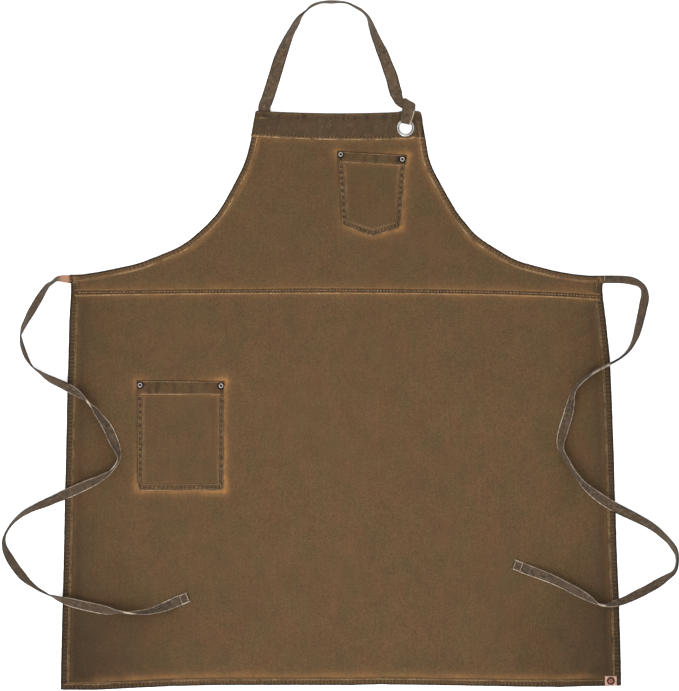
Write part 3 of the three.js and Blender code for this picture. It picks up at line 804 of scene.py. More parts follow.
def make_wrap():
    """The tape that comes up through the eyelet, is folded over above the band and goes under itself."""
    # x, y, roll, width, height of the middle
    rows = [
        (96, 447.5, 180, 15, 0.5), (97.5, 440, 180, 15, 0.45), (99, 434, 180, 14, 0.6),
        (99.6, 429.6, 180, 13.4, 1.2), (99.8, 427.9, 180, 13.4, 2.6), (99.9, 427.8, 180, 13.6, 4.0),
        (100.2, 429.2, 180, 15, 5.9),
        (101.2, 434, 180, 18, 6.7), (102.8, 440, 180, 19.0, 6.7), (104.3, 446, 180, 19.5, 6.4),
        (105.6, 452, 180, 19.5, 5.9), (106.6, 457.5, 180, 19.5, 5.0), (107.0, 460.7, 180, 19.3, 3.9),
        (106.7, 461.6, 180, 19.2, 2.9), (105.5, 460.5, 180, 19, 1.8), (104, 457, 180, 18.5, 1.2),
        (102, 452.4, 180, 18, 0.9),
    ]
    p = spline(rows, 6)
    p = p[np.concatenate([[True], np.diff(lengths(p[:, [0, 1, 4]])) > 1e-6])]
    s = lengths(p[:, [0, 1, 4]])
    at = np.linspace(0, s[-1], 74)
    p = np.stack([np.interp(at, s, p[:, k]) for k in range(5)], 1)
    centre = p[:, [0, 1, 4]]
    d = np.gradient(centre, axis=0)
    d /= np.linalg.norm(d, axis=1)[:, None]
    # the width lies across the tape's lean, which follows the fold edge at the top
    reached = [0, s[-1] * 0.45, s[-1] * 0.62, s[-1] * 0.8, s[-1]]
    lean = np.radians(np.interp(at, reached, [-15, -15, -17, -28, -28]))
    across = np.column_stack([np.cos(lean), np.sin(lean), 0 * lean])
    across -= (across * d).sum(1)[:, None] * d
    across /= np.linalg.norm(across, axis=1)[:, None]
    face = np.cross(d, across)
    fold_at = at[np.argmax(p[:, 1])] / s[-1]  # where the tape turns over
    uphill = np.column_stack([-across[:, 1], across[:, 0], 0 * lean])
    parts = []
    for share, rise in TAPE_SECTION:
        sag = 0.5 * (share**2 - 0.4) * bell(at, s[-1] * 0.55, 14)
        shoulder = 1.5 * (1 - share**2) - 2.8 * max(share, 0) ** 4 - 0.8 * max(-share, 0) ** 4
        shoulder = shoulder * bell(at, s[-1] * fold_at, 9)
        flat = across * (share * p[:, 3] / 2)[:, None] + uphill * shoulder[:, None]
        parts.append(centre + flat + face * (rise * (TAPE_THICKNESS / 2)) + np.array([0, 0, 1]) * sag[:, None])
    verts = np.stack(parts, 1).reshape(-1, 3)
    low = verts[:, 2] < 0.35
    verts[low, 2] = 0.35 * np.exp(verts[low, 2] - 0.35)  # it never goes through the floor
    k = len(TAPE_SECTION)
    faces = outward(verts, tube_faces(len(p), k))
    sideways = np.tile([a for a, _ in TAPE_SECTION], len(p))
    attributes = {
        "across": -sideways,
        "along": np.repeat(at, k),
        "lit": np.where((sideways > 0) & (verts[:, 1] < 447) & (verts[:, 2] > 4), 1.0, 0.45),
        "tone": np.full(len(verts), 0.25),
    }
    wrap = build("neck_strap_fold", verts, faces, TAPE, attributes, sharp=50)
    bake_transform(wrap)
    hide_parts("neck_strap_loop", "neck_strap_knot")


make_wrap()

# ---------------------------------------------------------------- cloth


def waves(x, y):
    """The cloth never lies quite flat: long shallow waves, in millimetres."""
    return 0.42 * noise2(x, y, 85, 71) + 0.22 * noise2(x, y * 0.6, 34, 72) + 0.07 * noise2(x, y, 13, 73)


def tone_at(x, y):
    """Large patches of cloth: lighter in the middle, darker to the sides and the lower corners."""
    x, y = np.asarray(x, float), np.asarray(y, float)
    centre = 0.15 * bell(x, 20, 280) * bell(y, -120, 360)
    sides = -(0.16 + 0.02 * np.sign(x)) * smooth(np.abs(x), 320, 425) * smooth(y, 260, 150)
    corners = -(0.31 - 0.03 * np.sign(x)) * smooth(np.abs(x), 200, 400) * smooth(y, -190, -400)
    upper = -0.03 * smooth(y, 200, 420) * smooth(x, 40, -110)
    return centre + sides + corners + upper + 0.035 * noise2(x, y, 70, 81) + 0.03 * noise2(x, y, 30, 82)


def pocket_outline(design):
    return np.array([*design["top"], *design["foot"][::-1], design["top"][0]], float)


def inside_of(x, y, outline):
    """True inside a closed outline."""
    x, y = np.asarray(x, float), np.asarray(y, float)
    inside = np.zeros(x.shape, bool)
    for (x0, y0), (x1, y1) in zip(outline[:-1], outline[1:]):
        crosses = (y0 > y) != (y1 > y)
        if y1 != y0:
            inside ^= crosses & (x < x0 + (x1 - x0) * (y - y0) / (y1 - y0))
    return inside


def stain_at(x, y):
    """Orange rubbed cloth beside the seams, hems and pockets."""
    x, y = np.asarray(x, float), np.asarray(y, float)
    off = y - waist_y(x)
    above, below = np.maximum(off - 4.5, 0), np.maximum(-off - 4.5, 0)
    stain = 0.42 * np.exp(-above / 5.0) * (off > 0) + 0.52 * np.exp(-below / 4.0) * (off <= 0)
    stain = stain * (0.72 + 0.38 * noise2(x, y, 22, 91))
    for design, power in ((BIB_POCKET, 0.85), (HIP_POCKET, 0.95)):
        outline = pocket_outline(design)
        d = distance(x, y, outline)
        top = design["top"][0][1]
        cx = (outline[:, 0].min() + outline[:, 0].max()) / 2
        right = smooth(x, cx, outline[:, 0].max())
        low = smooth(y, top - 60, top - 100)
        corner = 0
        for cx0, cy0 in design["top"]:
            corner = np.maximum(corner, bell(np.hypot(x - cx0, y - cy0), 0, 15))
        foot_line = bell(y, outline[:, 1].min(), 26)
        strength = power * (0.08 + 0.6 * right + 0.15 * low + 0.6 * foot_line + 0.8 * corner)
        strength *= 0.85 + 0.35 * noise2(x, y, 16, 92)
        halo = strength * np.exp(-np.maximum(d - 2.2, 0) / (3.4 + 1.5 * corner))
        stain = np.maximum(stain, halo)
    return np.clip(np.maximum(stain, corner_rust(x, y)), 0, 1)


def corner_rust(x, y):
    """The cloth is rubbed orange where the ties are sewn on."""
    left, right = np.hypot(x + 413, y - 186), np.hypot(x - 403, y - 187)
    return 0.5 * (bell(left, 0, 9) + bell(right, 0, 9)) * (0.8 + 0.6 * noise2(x, y, 4, 93))


def side_offset(y, inset):
    return x_on(LEFT_SIDE, y) + inset, x_on(RIGHT_SIDE, y) - inset


def spaced(low, high, fine, coarse, marks=(), reach=0):
    """Numbers from low to high, closer together near the marks."""
    out = [low]
    while out[-1] < high:
        near = min((abs(out[-1] + coarse * 0.4 - m) for m in marks), default=1e9)
        out.append(out[-1] + (fine if near < reach else coarse))
    out = np.array(out)
    return low + (out - low) * (high - low) / (out[-1] - low)


def foot_y(x):
    return np.interp(x, [p[0] for p in BOTTOM], [p[1] for p in BOTTOM])


def cloth_plate(x, y, z, tone, stain, dark=0.0):
    """A sheet of cloth 0.7 mm thick. Its back is less stained than its front."""
    verts, faces = plate(np.stack([x, y, z], -1), np.stack([x, y, z - 0.7], -1))
    attributes = on_both(x.shape, tone=tone, stain=0.0, wear=0.0, dark=dark)
    attributes["stain"] = np.concatenate([stain.ravel(), 0.3 * stain.ravel()])
    return verts, faces, attributes


def skirt_cloth():
    v = spaced(0, 1, 2.2 / 600, 6.5 / 600, [0.004, 0.05, 0.215, 0.49, 0.53, 0.77, 1], 0.018)
    u = spaced(0, 1, 2.2 / 840, 6.5 / 840, [0.0, 0.128, 0.288, 1.0], 0.016)
    uu, vv = np.meshgrid(u, v, indexing="ij")
    x = -415 + 830 * uu
    for _ in range(3):  # rows follow the waist and the bottom edge, columns follow the sides
        y0, y1 = foot_y(x) + 12, waist_y(x) - 1
        y = y0 + (y1 - y0) * vv
        left, right = side_offset(y, 12)
        x = left + (right - left) * uu
    edge = np.minimum.reduce([x - left + 12, right - x + 12, y - foot_y(x)])
    calm = smooth(edge, 12, 45) * smooth(waist_y(x) - y, 4, 40)
    under_pocket = inside_of(x, y, pocket_outline(HIP_POCKET))
    z = FACE + waves(x, y) * calm - 0.25 * calm - 0.2 * under_pocket
    stain = stain_at(x, y)
    side_stain = 0.1 * bell(edge, 15.5, 4) * (0.8 + 0.5 * noise2(x, y, 28, 95))
    hem_light = 0.42 * bell(y - foot_y(x), 13, 7) * (0.8 + 0.5 * noise2(x, y, 20, 96))
    hem_light = hem_light * smooth(np.abs(x), 425, 360)
    stain = np.maximum(stain, np.maximum(side_stain, hem_light))
    dark = 0.22 * bell(edge, 21, 8) * (np.minimum(x - left, right - x) < 40)
    tone = tone_at(x, y) + 0.13 * bell(y - foot_y(x), 13, 7) * smooth(np.abs(x), 425, 330)
    return cloth_plate(x, y, z, tone, stain, dark)


def hem(
    edge, width, side, seed, quiet, drop=0.0, puckers=1.0, lift=0.0, ridge=1.0, rim=1.0, shade=0.0, warm=0.25,
    dashes=1.0,
):
    """A turned hem along an edge line: side is 1 where the cloth lies to the left of the way the line runs.

    quiet(x, y) says how far the ridge and the puckers fade there."""
    line = resample(edge, 1.25)
    s = lengths(line)
    n = normals(line) * side
    k = width / 10
    # e is the distance in from the edge, z the height; then how pale with use that place is, and how dark it is
    # painted: near black at the rolled outer edge, where the cloth turns away from the light, and darker in the
    # stitch groove, both painted shade
    profile = [
        (0.0, 1.15, 0.0, 1.0), (0.12, 1.9, 0.0, 1.0), (0.55, 2.55, 0.0, 1.0), (1.25, 2.95, 0.0, 0.95 * rim),
        (2.1, 3.1, 0.0, 0.7 * rim), (3.1 * k, 3.12, 0.05, 0.3 * rim), (4.3 * k, 3.08, 0.05, 0.22),
        (5.6 * k, 3.08, 0.05, 0.2), (6.9 * k, 3.0, 0.1, 0.2), (7.9 * k, 2.85, 0.05, 0.5),
        (8.8 * k, 3.0, 0.5, 0.15), (9.6 * k, 3.12, 0.85, 0.0), (10.5 * k, 2.92, 0.35, 0.0),
        (11.6 * k, 2.62, 0.0, 0.1), (13.2 * k, 2.40, 0.0, 0.05),
        (13.2 * k, 1.85, 0.0, 0.1), (10.9 * k, 1.7, 0, 0.1), (10.6 * k, 1.0, 0, 0.3), (10.3 * k, 0.25, 0, 0.4),
        (9.6 * k, 0.1, 0.2, 0.1), (7.0 * k, 0.12, 0.0, 0.1), (4.0 * k, 0.1, 0, 0.1), (1.2, 0.15, 0, 0.6),
        (0.35, 0.5, 0, 1.0),
    ]
    phase = s / 5.8 + 0.35 * noise1(s, 31, seed)
    strong = (0.75 + 0.45 * noise1(s, 42, seed + 1)) * puckers
    wave = np.cos(TAU * phase)
    calm = 1 - quiet(line[:, 0], line[:, 1])
    strong = strong * (0.25 + 0.75 * calm)
    worn = np.clip(0.75 + 0.55 * noise1(s, 14, seed + 2) + 0.3 * noise1(s, 3, seed + 3), 0, 1.2)
    rows, wear, dark = [], [], []
    for index, (e, z, w, d) in enumerate(profile):
        top = index < 15
        hump = bell(e, 4.6 * k, 2.6 * k) * top
        groove = bell(e, 8.0 * k, 1.2) * top
        height = z + drop * top + lift + strong * wave * (0.30 * hump) - 0.18 * groove * (1 - wave) / 2
        wobble = 0.25 * noise1(s, 55, seed + 4) + 0.12 * noise1(s, 7, seed + 6)
        inset = e + wobble * (1 - smooth(e, 0, 8))
        rows.append(np.column_stack([line[:, :2] + n * inset[:, None], height]))
        wear.append(w * worn * ridge * calm + 0.12 * hump * smooth(wave, 0.2, 1) * calm)
        # painted shade in the puckers' troughs, as dark dashes
        dark.append(d + 0.75 * dashes * strong * bell(e, 4.9 * k, 2.0 * k) * smooth(-wave, -0.1, 0.8) * top)
    verts = np.stack(rows, 1)
    flat = verts.reshape(-1, 3)
    faces = outward(flat, tube_faces(len(line), len(profile)))
    x, y = verts[..., 0], verts[..., 1]
    e_all = np.array([p[0] for p in profile])[None, :] * np.ones(x.shape)
    stain = warm * smooth(e_all, 8 * k, 12 * k) * (0.7 + 0.6 * noise2(x, y, 25, seed + 7))
    stain = np.maximum(stain, 0.4 * warm)
    stain = np.maximum(stain, corner_rust(x, y))
    # painted shade: a thin dark line on the hem along the leather patch's edge
    patch_gap = np.maximum(np.abs(x - PATCH[0]) - PATCH_HALF[0], np.abs(y - PATCH[1]) - PATCH_HALF[1])
    patch_edge_shade = 0.8 * bell(patch_gap, 0.8, 1.5)
    attributes = {
        "tone": tone_at(x, y) - shade, "stain": stain, "wear": np.stack(wear, 1),
        "dark": np.clip(np.stack(dark, 1) + patch_edge_shade, 0, 1),
    }
    return flat, faces, attributes


def above_waist(x, y):
    return 0.9 * smooth(y, 160, 171)


def make_skirt():
    left = np.array(LEFT_SIDE[::-1], float)
    left[-1] = (-419.6, 191.5)
    right = np.array(RIGHT_SIDE, float)
    right[0] = (406.9, 188.5)
    left[0, 1] += 2.5
    right[-1, 1] += 2.5
    parts = [
        skirt_cloth(),
        hem(left, SIDE_HEM, -1, 101, above_waist, drop=-0.06, ridge=0.42, shade=0.17, warm=0.08, dashes=0.6),
        hem(right, SIDE_HEM, -1, 111, above_waist, drop=-0.06, ridge=0.42, shade=0.22, warm=0.08, dashes=0.5),
        hem(
            np.array(BOTTOM), BOTTOM_HEM, 1, 121, lambda x, y: 0.6 * smooth(x, 250, 400),
            lift=0.1, puckers=0.65, ridge=0.55, rim=0.95, shade=0.17, warm=0.18,
        ),
    ]
    verts, faces, attributes = joined(parts)
    skirt = build("skirt", verts, faces, CANVAS, attributes, sharp=60)
    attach(skirt, "skirt")
    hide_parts("skirt_panel")
    return skirt


def bib_cloth():
    """Rows across the bib, from the waist seam to the band, between the armholes' hems."""
    def inner(arm, sign):
        line = resample(arm, 2.0)
        off = line + normals(line) * sign * (ARM_HEM * 1.18)
        return off[np.concatenate([[True], np.diff(off[:, 1]) > 0.01])]

    left_line, right_line = inner(left_arm, -1), inner(right_arm, 1)
    upper_rows = spaced(30, 238.5, 2.4, 5, [84, 101, 203, 216], 9)
    rows = np.concatenate([[0], spaced(6, 30, 2.0, 2.0), upper_rows[1:]])
    u = spaced(0, 1, 0.008, 0.0125)
    xs, ys = [], []
    for r in rows:
        level = 169 + r
        left_x = np.interp(level, left_line[:, 1], left_line[:, 0]) if level > left_line[0, 1] else -407.5
        right_x = np.interp(level, right_line[:, 1], right_line[:, 0]) if level > right_line[0, 1] else 397.5
        x = left_x + (right_x - left_x) * u
        # the lowest rows follow the waist
        y = level + (waist_y(x) - 169) * smooth(r, 14, 0)
        xs.append(x)
        ys.append(y)
    x, y = np.array(xs), np.array(ys)
    d_arm = np.minimum(distance(x, y, left_arm[::3]), distance(x, y, right_arm[::3]))
    calm = smooth(d_arm, 12, 42) * smooth(y - waist_y(x), 4, 30) * smooth(top_y(x) - y, 38, 70)
    under_pocket = inside_of(x, y, pocket_outline(BIB_POCKET))
    z = FACE + waves(x, y) * calm - 0.25 * calm - 0.2 * under_pocket
    stain = stain_at(x, y)
    arm_stain = 0.5 * bell(d_arm, 11, 4) * (0.75 + 0.5 * noise2(x, y, 30, 97)) * smooth(y, 200, 230)
    band_stain = 0.45 * np.exp(-np.maximum(top_y(x) - y - 42, 0) / 4) * (0.75 + 0.5 * noise2(x, y, 25, 98))
    stain = np.maximum(stain, np.maximum(arm_stain, band_stain))
    return cloth_plate(x, y, z, tone_at(x, y), stain)


def far_out(x, y):
    return 0.55 * smooth(np.abs(x), 320, 385)


def make_bib():
    look = dict(drop=-0.05, puckers=0.8, ridge=0.95, shade=0.1, warm=0.4, dashes=0.7)
    parts = [
        bib_cloth(),
        hem(left_arm, ARM_HEM, -1, 131, far_out, **look),
        hem(right_arm, ARM_HEM, 1, 141, far_out, **look),
    ]
    verts, faces, attributes = joined(parts)
    bib = build("bib", verts, faces, CANVAS, attributes, sharp=60)
    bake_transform(bib)
    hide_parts("bib_panel", "bib_base")
    return bib


def felled_seam():
    """The waist seam: two ridges with a stitched trough between them."""
    line = resample(waist, 1.25)
    line = line[(line[:, 0] > -413) & (line[:, 0] < 402.5)]
    s = lengths(line)
    over_hem = 0.3 * smooth(np.abs(line[:, 0] + 5), 386, 394)  # its ends lie on the side hems
    n = normals(line)
    # Across the seam: e the distance from its middle, z the height, w how pale with use and d how dark each place
    # is painted. The trough between the two ridges is painted shade, darker again in the puckers' troughs.
    profile = [
        (6.0, 2.35, 0, 0), (4.9, 2.62, 0.1, 0), (4.2, 3.1, 0.28, 0), (3.7, 3.28, 0.22, 0.1), (3.1, 3.2, 0.0, 0.6),
        (2.0, 3.05, 0, 0.62), (0.9, 2.95, 0, 0.66), (0.0, 2.93, 0, 0.7), (-0.9, 2.95, 0, 0.66),
        (-2.0, 3.05, 0, 0.62), (-3.0, 3.2, 0.0, 0.6), (-3.7, 3.34, 0.6, 0.0), (-4.3, 3.2, 0.85, 0),
        (-5.0, 2.68, 0.3, 0), (-6.2, 2.35, 0, 0), (-6.2, 1.8, 0, 0), (-4.5, 1.5, 0, 0.2),
        (-3.0, 1.0, 0.1, 0.1),
        (3.0, 1.0, 0.1, 0.1), (4.5, 1.5, 0, 0.2), (6.0, 1.8, 0, 0),
    ]
    wave = np.cos(TAU * (s / 4.9 + 0.3 * noise1(s, 37, 151)))
    worn = np.clip(0.8 + 0.5 * noise1(s, 16, 152) + 0.35 * noise1(s, 3.3, 153), 0, 1.2)
    spread = 1 + 0.12 * noise1(s, 90, 154)
    rows, wear, dark = [], [], []
    for index, (e, z, w, d) in enumerate(profile):
        top = index < 15
        hump = bell(abs(e), 2.3, 1.5) * top
        height = z + (over_hem + 0.16 * wave * hump) * (1 if top else 0.6)
        rows.append(np.column_stack([line[:, :2] + n * (e * spread)[:, None], height]))
        wear.append(w * worn)
        dark.append(d * (0.72 + 0.5 * smooth(-wave, -0.2, 0.8)))
    verts = np.stack(rows, 1)
    flat = verts.reshape(-1, 3)
    faces = outward(flat, tube_faces(len(line), len(profile)))
    x, y = verts[..., 0], verts[..., 1]
    attributes = {
        "tone": tone_at(x, y), "stain": np.maximum(stain_at(x, y), 0.36), "wear": np.stack(wear, 1),
        "dark": np.clip(np.stack(dark, 1), 0, 1),
    }
    seam = build("waist_seam", flat, faces, CANVAS, attributes, sharp=60)
    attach(seam, "skirt")
    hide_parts("waist_seam")


def make_band():
    """The facing across the bib's top, folded over its edge."""
    n, x_left, x_right = 200, -132.0, 122.4
    x = np.linspace(x_left, x_right, n)
    # down from the fold: the first rows go round the edge
    round_edge = [-2.2, -1.9, -1.2, -0.3, 0.7, 1.8, 3.0]
    cross = np.concatenate([round_edge, np.arange(4.2, 35, 1.3), np.arange(35, 41.5, 0.75), [41.6]])
    levels = round_edge + [8.4, 9.2, 10.2, 12, 37.6, 38.6, 39.4, 40.2, 41.0, 41.6]
    rise = [1.9, 2.5, 3.0, 3.4, 3.65, 3.75, 3.75, 3.72, 3.55, 3.7, 3.7, 3.7, 3.5, 3.62, 3.66, 3.35, 2.9]
    rise = np.interp(cross, levels, rise)
    xx, cc = np.meshgrid(x, cross, indexing="ij")
    widen = 1 + 0.055 * np.clip(cc, 0, 41) / 41
    px = xx * widen + 3.2 * smooth(xx, 98, 122) * (1 - np.clip(cc, 0, 41) / 41)
    depth = np.clip(cc, -0.3, None) + 0.012 * xx * np.clip(cc, 0, 41) / 41
    reach = np.maximum(xx - (x_right - 7), 0)
    py = top_y(xx) - depth - (7 - np.sqrt(np.maximum(49 - reach**2, 0))) * np.clip(1 - cc / 14, 0, 1)
    py -= (1 - smooth(xx - x_left, 0, 3)) * smooth(6 - cc, 0, 6)
    s = xx - x_left
    wave = np.cos(TAU * (s / 5.2 + 0.3 * noise2(s, cc * 0, 33, 161)))
    end = np.minimum(xx - x_left, x_right - xx)
    z = rise[None, :] + 0.22 * noise2(px, py, 40, 162)
    z = z + 0.12 * wave * (bell(cc, 37, 2.2) + 0.5 * bell(cc, 7, 2))
    z -= 0.45 * bell(end, 0, 1.6)
    in_end = 129.5 + 0.055 * np.clip(cc, 0, 41) * 3 - 3.2 - px  # how far inside the right end
    z += 0.4 * bell(in_end, 9.5, 1.4) * smooth(cc, 10, 16)  # a standing crease near the right end
    # the eyelet's hole: the grid round it is bent from squares to circles, and the middle block is left out
    ex, ey = EYELET
    dx, dy = px - ex, py - ey
    square, round_ = np.maximum(np.abs(dx), np.abs(dy)), np.hypot(dx, dy) + 1e-9
    radius = 11.0
    share_in = 1 - smooth(square, radius, 1.9 * radius)
    pull = (round_ + (square - round_) * share_in) / round_
    inside = square < radius
    columns, rows = np.where(inside.any(1))[0], np.where(inside.any(0))[0]
    hole = (columns[0], columns[-1], rows[0], rows[-1])
    hx, hy = ex + dx * pull, ey + dy * pull
    front = np.stack([hx, hy, z], -1)
    back = np.stack([hx, hy, np.where(cc < 34, 1.75, 2.75)], -1)
    verts, faces = plate(front, back, hole)
    noise_x = noise2(px, py, 12, 163)
    streak = smooth(noise2(px, py * 0.12, 4.2, 167), 0.0, 0.7)
    dash = np.cos(TAU * (s / 5.3 + 0.25 * noise2(s, cc * 0, 33, 168)))
    worn = np.clip(0.7 + 0.5 * noise2(px, py * 0, 15, 164) + 0.35 * noise2(px, py * 0, 3, 165), 0, 1.2)
    stitched = 0.35 * bell(cc, 36.9, 1.0) * smooth(dash, 0.2, 0.9)
    wear = worn * (0.95 * bell(cc, 40.6, 1.0) + stitched + 0.03 * bell(cc, 9.9, 0.9))
    wear += 0.55 * worn * bell(in_end, 9.5, 0.8) * smooth(cc, 10, 16) * smooth(42 - cc, 0, 4)
    wear += 0.16 * worn * bell(cc, 2.0, 1.4) + 0.12 * smooth(noise2(px, py, 2.6, 169), 0.35, 0.9)
    # painted shade: near black where the band turns over the top edge and at its cut ends, and darker in the two
    # stitch grooves
    dark = 0.9 * smooth(-cc, -1.6, 1.0) + 0.5 * bell(cc, 38.9, 0.9)
    dark = dark + 0.6 * bell(cc, 36.9, 1.7) * smooth(-dash, -0.3, 0.7)
    dark += 0.22 * bell(cc, 9.0, 0.8) + 0.8 * bell(end, 0, 1.8) + 0.14 * smooth(noise_x, 0, 0.8)
    dark += 0.42 * bell(cc, 5.5, 6.0) * streak + 0.4 * bell(in_end, 5.5, 2.4) * smooth(dash, -0.5, 0.8)
    dark += 0.25 * bell(in_end, 12.2, 1.6) * smooth(cc, 10, 16)
    left_end = smooth(xx, -98, -124)
    dark += 0.18 * left_end * smooth(noise2(px, py, 3.4, 170), 0.1, 0.7)
    stain = 0.4 * bell(cc, 40.5, 3) + 0.05 + 0.5 * left_end * smooth(cc, 20, 34) * smooth(noise_x, -0.4, 0.6)
    tone = tone_at(px, py) - 0.05 * smooth(xx, 0, -110)
    attributes = on_both(px.shape, tone=tone, stain=stain, wear=wear, dark=np.clip(dark, 0, 1))
    band = build("bib_top_band", verts, faces, BAND_CANVAS, attributes, sharp=60)
    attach(band, "bib")
    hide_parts("bib_top_band")


def make_pocket(name, design, body, seed):
    """A patch pocket. Its sheet bows a little off the cloth and puckers between its two rows of stitches.

    Its mouth is turned and doubled."""
    top, foot = np.array(design["top"], float), np.array(design["foot"], float)
    wide, high, mouth = top[1, 0] - top[0, 0], top[0, 1] - foot[1, 1], design["mouth"]
    u = spaced(0, 1, 0.8 / wide, 3 / wide, [0, 1], 13 / wide)
    v = spaced(0, 1, 0.6 / high, 3 / high, [0, mouth / 2 / high, mouth / high, 1], 8 / high)
    uu, vv = np.meshgrid(u, v, indexing="ij")  # v runs from the mouth to the foot
    upper = top[0] + uu[..., None] * (top[1] - top[0])
    low = np.stack([np.interp(uu, np.linspace(0, 1, len(foot)), foot[:, k]) for k in (0, 1)], -1)
    xy = upper + vv[..., None] * (low - upper)
    x, y = xy[..., 0], xy[..., 1]
    outline = pocket_outline(design)
    height = np.linalg.norm(low - upper, axis=-1)
    from_top = vv * height
    sides = distance(x, y, outline[1:])  # the sewn sides and foot, without the mouth
    # puckers: about 9 mm apart down the sides, closer along the foot
    near_side = np.minimum(x - x.min(), x.max() - x) < 14
    wave = np.cos(TAU * ((x + 0.35 * y) / 5.3 + 0.3 * noise2(x, y, 30, seed)))
    wave2 = np.cos(TAU * ((y + 0.25 * x) / 9.4 + 0.5 * noise2(x, y, 26, seed + 1)))
    ripple = np.where(near_side & (from_top < height.mean() * 0.9), wave2, wave)
    sewn = smooth(from_top, mouth - 2, mouth + 4)
    z = 3.05 + 0.5 * smooth(sides, 0, 2.2)
    z += 0.14 * ripple * bell(sides, 5.4, 2.2) * sewn
    z -= 0.22 * bell(sides, 2.4, 0.9) * sewn + 0.26 * bell(sides, 9.2, 1.0) * sewn
    z += 0.16 * bell(sides, 10.8, 1.2) * sewn + 0.1 * bell(sides, 6, 2.5) * sewn
    z += 0.35 * smooth(sides, 12, 45) * (0.5 + 0.5 * noise2(x, y, 48, seed + 2)) * sewn
    fold = smooth(mouth - from_top, -0.6, 0.6)  # on the doubled mouth
    z += fold * (0.75 + 0.12 * noise2(x, y, 22, seed + 3))
    z -= 0.22 * bell(from_top, mouth - 2.5, 0.9)
    z += 0.14 * bell(from_top, mouth - 0.9, 0.6)
    z -= 0.9 * smooth(1.3 - from_top, 0, 1.3)
    front = np.stack([x, y, z], -1)
    back = np.stack([x, y, np.full(x.shape, 2.72)], -1)
    for grid in (front, back):  # the foot's two outer corners are round
        for at_side, inward in ((uu * wide, 1), ((1 - uu) * wide, -1)):
            a, b = np.maximum(CORNER - at_side, 0), np.maximum(CORNER - (1 - vv) * height, 0)
            shrink = 1 - np.maximum(a, b) / (np.hypot(a, b) + 1e-9)
            both = (a > 0) & (b > 0)
            grid[..., 0] += np.where(both, inward * a * shrink, 0)
            grid[..., 1] += np.where(both, b * shrink, 0)
    verts, faces = plate(front, back)
    worn = np.clip(0.7 + 0.5 * noise2(x, y, 13, seed + 4) + 0.4 * noise2(x, y, 3, seed + 5), 0, 1.2)
    # The sewn edge is pale with use all round, and brightest on the right side and the foot, where edge_light is
    # high: a painted highlight.
    rightness = smooth(x, x.mean(), x.max() - 12)
    footness = smooth(from_top, height.mean() * 0.86, height.mean() * 0.95)
    edge_light = 0.2 + 0.8 * np.maximum(rightness, footness)
    wear = worn * edge_light * bell(sides, 0.3, 0.8) * 0.95 * smooth(from_top, 4, 10)
    crests = 0.4 * smooth(ripple, 0.35, 1) * bell(sides, 4.6, 2.0)
    wear += worn * sewn * (0.22 * bell(sides, 10.8, 0.9) + crests)
    folds = 0.95 * bell(from_top, mouth - 0.6, 0.62) + 0.62 * bell(from_top, 1.5, 0.6)
    wear += worn * folds * smooth(sides, 3, 10)
    # painted shade in the two stitch grooves and in the puckers' troughs between them, and darker between the
    # rows
    dark = (0.55 + 0.3 * edge_light) * bell(sides, 2.2, 0.9) * sewn + 0.35 * bell(sides, 9.1, 1.0) * sewn
    dark += 0.55 * smooth(-ripple, 0.0, 0.8) * bell(sides, 4.9, 2.2) * sewn + 0.15 * bell(sides, 5, 4) * sewn
    # painted shadow along the mouth's top edge and below the doubled mouth's lower edge, and painted shade in the
    # groove on the doubled mouth
    dark += (
        0.75 * bell(from_top, 0, 0.8) + 0.45 * bell(from_top, mouth + 0.7, 0.7)
        + 0.2 * bell(from_top, mouth - 2.4, 0.9)
    )
    # painted shadow along the left side, away from the painted highlight
    dark += 0.8 * bell(sides, 0, 0.7) * (1 - edge_light)
    doubled = smooth(from_top, 1.8, 3) * smooth(mouth - from_top, 1, 2.6)
    dark += doubled * (0.1 + 0.4 * smooth(noise2(x, y * 0.12, 4.2, seed + 7), -0.1, 0.8))
    for rx, ry in design["rivets"]:
        away = np.hypot(x - rx, y - ry)
        # painted shade: a dark ring in the cloth round each rivet's head
        dark += 0.75 * bell(away, 4.7, 1.3) + 0.35 * bell(away, 0, 10) * doubled
    stain = 0.25 * bell(sides, 0.5, 2) * edge_light + 0.12 * bell(sides, 9, 4) + 0.3 * bell(from_top, mouth, 3)
    stain *= 0.8 + 0.4 * noise2(x, y, 18, seed + 6)
    tone = tone_at(x, y) - 0.04
    attributes = on_both(x.shape, tone=tone, stain=stain, wear=wear, dark=np.clip(dark, 0, 1))
    pocket = build(name, verts, faces, CANVAS, attributes, sharp=60)
    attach(pocket, body)
    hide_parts(name)
    # the rows of stitches
    path = outline[::-1][:-1]  # left top, foot from left, right top

    def row(inset):
        """The pocket's sides and foot moved inwards, from below the mouth to below the mouth."""
        off = []
        for a, b in zip(path[:-1], path[1:]):
            d = (b - a) / np.linalg.norm(b - a)
            off.append((a + np.array([-d[1], d[0]]) * inset, b + np.array([-d[1], d[0]]) * inset))
        out = [off[0][0]]
        for (a, b), (c, e) in zip(off[:-1], off[1:]):
            d1, d2 = b - a, e - c
            t = np.linalg.solve(np.column_stack([d1, -d2]), c - a)
            out.append(a + d1 * t[0])
        out.append(off[-1][1])
        first = out[0] + unit(out[1] - out[0]) * (mouth + 1.5)
        last = out[-1] + unit(out[-2] - out[-1]) * (mouth + 1.5)
        return np.array([first, *out[1:-1], last])

    for kind, inset in (("outer", 2.5), ("inner", 9.2)):
        thread_row(f"{name}_thread_{kind}", [row(inset)], 3.62, 3.1, body, seed=seed + 11)
    across = [top[0] + (top[1] - top[0]) * t - np.array([0, mouth - 2.5]) for t in (0.035, 0.965)]
    thread_row(f"{name}_thread_mouth", [across], 4.28, 3.1, body, seed=seed + 12)


